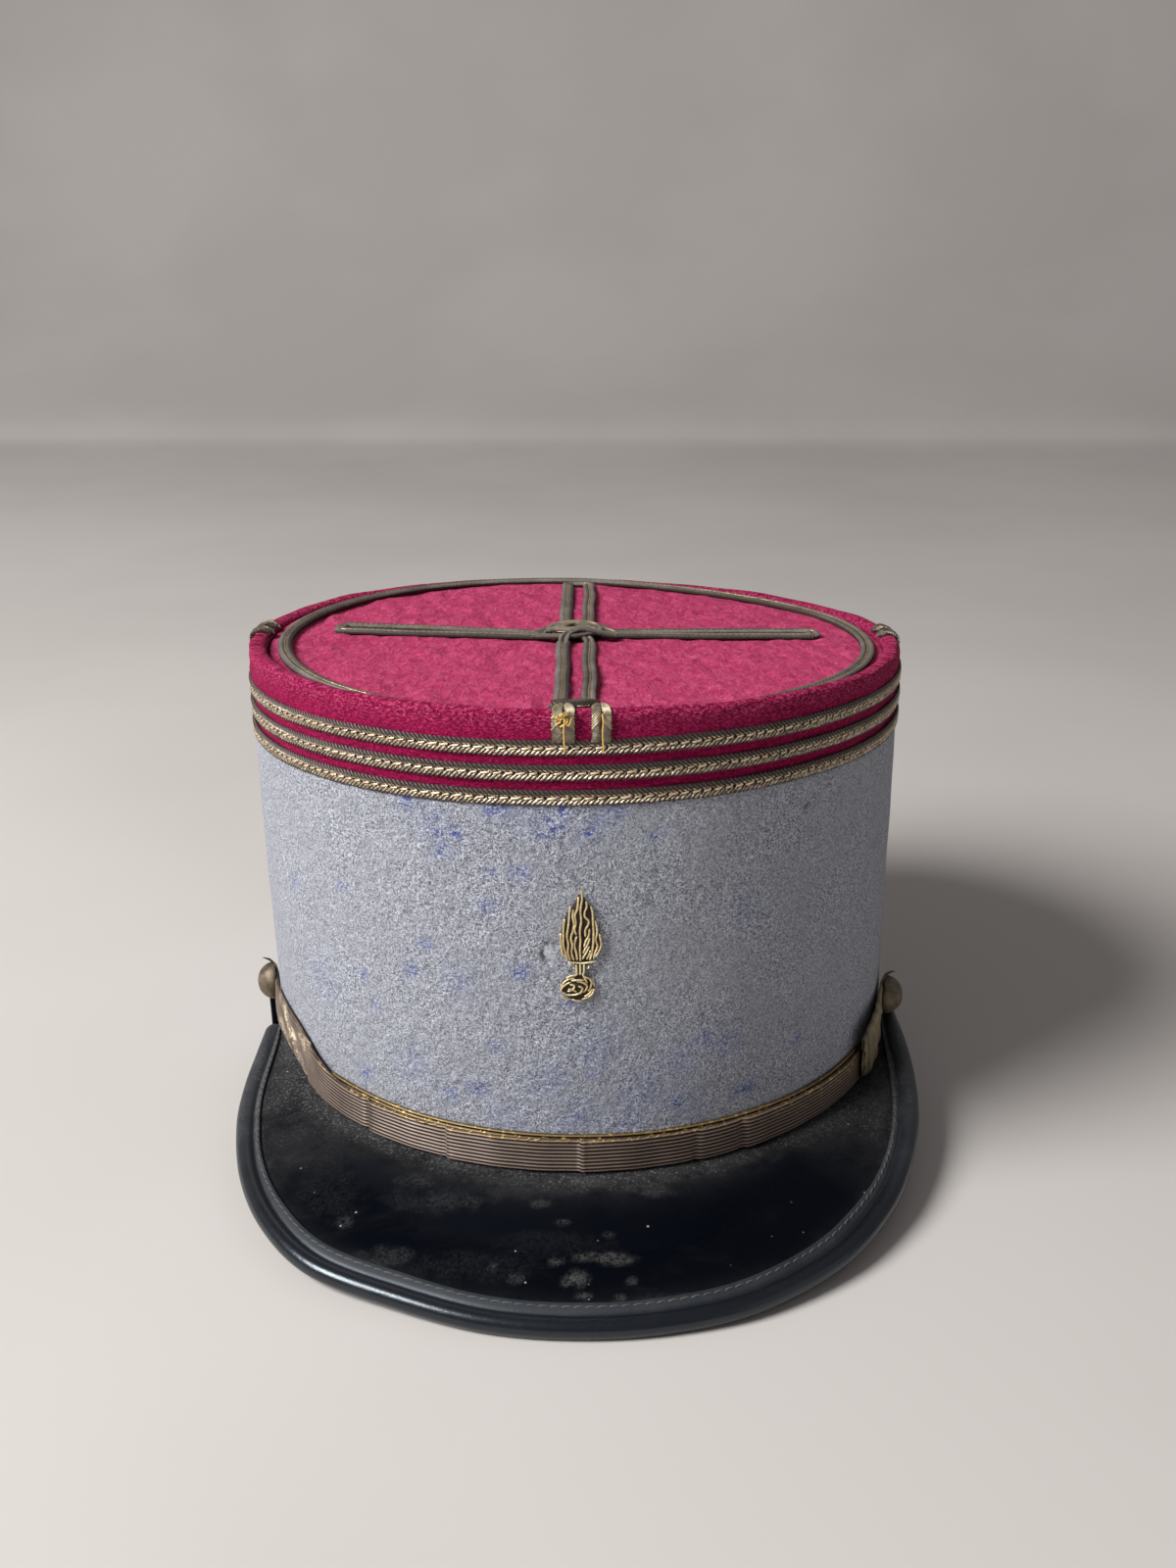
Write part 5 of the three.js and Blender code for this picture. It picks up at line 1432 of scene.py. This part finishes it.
def chin_strap():
    body, rows, flat = strap_body("strap", OUTER_STRAP, 26, True, outer_bends)
    degrees = rows[:, :1]
    shares = np.linspace(-1, 1, STRAP_COLUMNS)[None]
    note(body, "rib", rows[:, 2:3] * shares)
    # Worn bare patches where the strap twists, with painted highlights on them
    note(body, "bare_and_highlight", bump_at(degrees, -61, 6) * (0.55 + 0.45 * np.sin(shares * 4 + degrees * 0.6)))
    # Gold along the upper edge: partly less tarnished gold, partly painted glints
    gilt_and_glints = (0.15 + 0.75 * bump_at(degrees, -10, 30)) * bump_at(shares, 1.0, 0.13)
    note(body, "gilt_and_glints", gilt_and_glints + 0.7 * bump_at(degrees, 50, 16) * bump_at(shares, 0.9, 0.6))
    # The end above the left button is painted darker, and painted shade falls where the strap runs under the
    # keeper
    left_end, right_end = np.clip((-78.6 - degrees) / 0.6, 0, 0.9), under_keeper(degrees)
    note(body, "shade_and_dark_ends", np.maximum(left_end, right_end) + 0 * shares)
    parts = [(body, STRAP)]
    # Frayed gilt threads catch the light along the upper edge
    chosen = (rows[:, 0] > -40) & (rows[:, 0] < 22)
    run = flat[chosen, 0] / ARC_PER_RADIAN
    edge = flat[chosen, 1] + rows[chosen, 2]
    line = wall_above_brow(run, edge, GAP + rows[chosen, 3] + STRAP_THICK * 0.8)
    outward = wall_above_brow(run, edge, 3.0) - wall_above_brow(run, edge, 0.0)
    frayed = threads_along(
        line, outward, BRIGHT_THREAD, False, 12, 0.6,
        pitch=2.3, advance=0.7, width=0.45, hump=0.12, radius=0.08,
    )
    parts.append((frayed, BRIGHT_THREAD))
    piece("chin_strap_braid", parts, "chin_strap")
    body, rows, _ = strap_body("underlay", UNDER_STRAP, 30, True)
    # Painted shade where the underlay runs under the keeper
    note(body, "shade_and_dark_ends", under_keeper(rows[:, :1]) + 0 * shares)
    note(body, "rib", rows[:, 2:3] * shares)
    note(body, "gilt_and_glints", 0.65)
    note(body, "bare_and_highlight", 0.0)
    piece("strap_underlay_braid", [(body, STRAP_GOLD)], "strap_underlay")


def under_keeper(degrees):
    """1 where the straps lie in the keeper's shade."""
    return np.clip((degrees - 54.9) / 0.7, 0, 1)


def torn_edge(row, shares):
    """How far the keeper's torn edge is ragged."""
    ragged = 0.35 * np.sin(shares * 9) + 0.25 * np.sin(shares * 23 + 1) + 0.15 * np.sin(shares * 41)
    return ragged * np.clip(1 - row / 10, 0, 1)


def strap_keeper():
    def hollow(degrees, shares):
        return 0.25 * np.sin(degrees * 1.7 + shares * 2) * bump_at(degrees, 62, 5) - 0.3 * np.abs(shares) ** 4

    body, rows, _ = strap_body("keeper", KEEPER_ROWS, 12, False, hollow, torn_edge)
    degrees, shares = rows[:, :1], np.linspace(-1, 1, KEEPER_COLUMNS)[None]
    # Painted shade at the keeper's left end and along its edges, and its end by the button darker
    shade_and_dark_ends = np.clip((degrees - 73.3) / 0.3, 0, 0.9) + 0.5 * bump_at(degrees, 56.2, 0.5) + 0.6 * shares**8
    note(body, "shade_and_dark_ends", np.clip(shade_and_dark_ends, 0, 1))
    piece("strap_keeper_leather", [(body, KEEPER_LEATHER)], "strap_keeper")


chin_strap()
strap_keeper()

# Degrees from the front, rise above the brow, and how far it stands off the wall
BUTTONS = {"button_left": (-78, 15.6, 0.0), "button_right": (72.4, 15.6, 0.35)}
# From the shank to the top of the dome: radius, and height above the wall
BUTTON_PROFILE = [
    (1.4, 0.3), (1.4, 0.95), (1.5, 1.15), (3.6, 1.2), (4.5, 1.32), (4.8, 1.7), (4.8, 2.3),
    (4.55, 3.15), (4.0, 4.1), (3.15, 5.0), (2.15, 5.65), (1.0, 5.98), (0.15, 6.05),
]


def button(name, degrees, rise, off):
    angle = np.array(math.radians(degrees))
    place_at = wall_above_brow(angle, rise, 0.0)
    outward = unit(wall_above_brow(angle, rise, 1.0) - place_at)
    sideways = unit(np.cross([0, 0, 1.0], outward))
    upright_way = np.cross(outward, sideways)
    profile = smooth_between(BUTTON_PROFILE, 4) * [1.05, 1.0] + [0, off]
    turn = np.linspace(0, 2 * np.pi, 48, endpoint=False)
    dent = 1 + 0.012 * np.sin(3 * turn + degrees) + 0.006 * np.sin(7 * turn)
    ring = (np.cos(turn) * dent)[:, None] * sideways + (np.sin(turn) * dent)[:, None] * upright_way
    rows = place_at + outward * profile[:, 1, None, None] + profile[:, 0, None, None] * ring
    piece(name + "_brass", [(skin(name, rows), BRASS)], name)


for name, row in BUTTONS.items():
    button(name, *row)

# Floor and light, in metres. The backdrop is given by how far back and how high it runs
BACKDROP = [
    (-3.0, 0.0), (-0.6, 0.0), (1.1, 0.0), (1.4, 0.03), (1.65, 0.14), (1.83, 0.32), (1.95, 0.6),
    (2.0, 1.0), (2.0, 3.2),
]
BACKDROP_HALF_WIDE, LOOK_AT = 4.0, (0, 0, 0.06)


def floor():
    """A pale floor that curves up into a wall far behind."""
    profile = smooth_between(BACKDROP, 6)
    points = [(side * BACKDROP_HALF_WIDE, y, max(0.0, z)) for y, z in profile for side in (-1, 1)]
    faces = [(2 * i, 2 * i + 1, 2 * i + 3, 2 * i + 2) for i in range(len(profile) - 1)]
    mesh = bpy.data.meshes.new("floor")
    mesh.from_pydata(points, [], faces)
    mesh.polygons.foreach_set("use_smooth", [True] * len(faces))
    ground = bpy.data.objects.new("floor", mesh)
    bpy.context.scene.collection.objects.link(ground)
    f = Finish("pale floor")
    colour = f.ramp(f.noise(3, 3), (0.4, (0.56, 0.535, 0.51)), (0.6, (0.60, 0.575, 0.55)))
    mesh.materials.append(f.finish(colour, 0.8))


def area_light(name, place_at, size, power, colour):
    """A round lamp that faces the hat. Its size is in metres and its power in watts."""
    data = bpy.data.lights.new(name, "AREA")
    data.shape, data.size, data.energy, data.color = "DISK", size, power, colour
    lamp = bpy.data.objects.new(name, data)
    lamp.location = place_at
    away = np.array(place_at) - np.array(LOOK_AT)
    flat = math.hypot(away[0], away[1])
    lamp.rotation_euler = (math.atan2(flat, away[2]), 0, math.atan2(away[0], -away[1]))
    bpy.context.scene.collection.objects.link(lamp)


floor()
area_light("window on the left", (-1.15, -0.6, 1.15), 0.8, 42, (1.0, 0.985, 0.97))
area_light("weak light from the right", (1.2, -0.7, 0.5), 1.2, 0.8, (1.0, 0.96, 0.92))
world = bpy.data.worlds.new("studio")
world.use_nodes = True
sky = world.node_tree.nodes["Background"].inputs
sky["Color"].default_value, sky["Strength"].default_value = (0.92, 0.88, 0.90, 1), 0.2
bpy.context.scene.world = world
bpy.context.scene.view_settings.view_transform = "Standard"
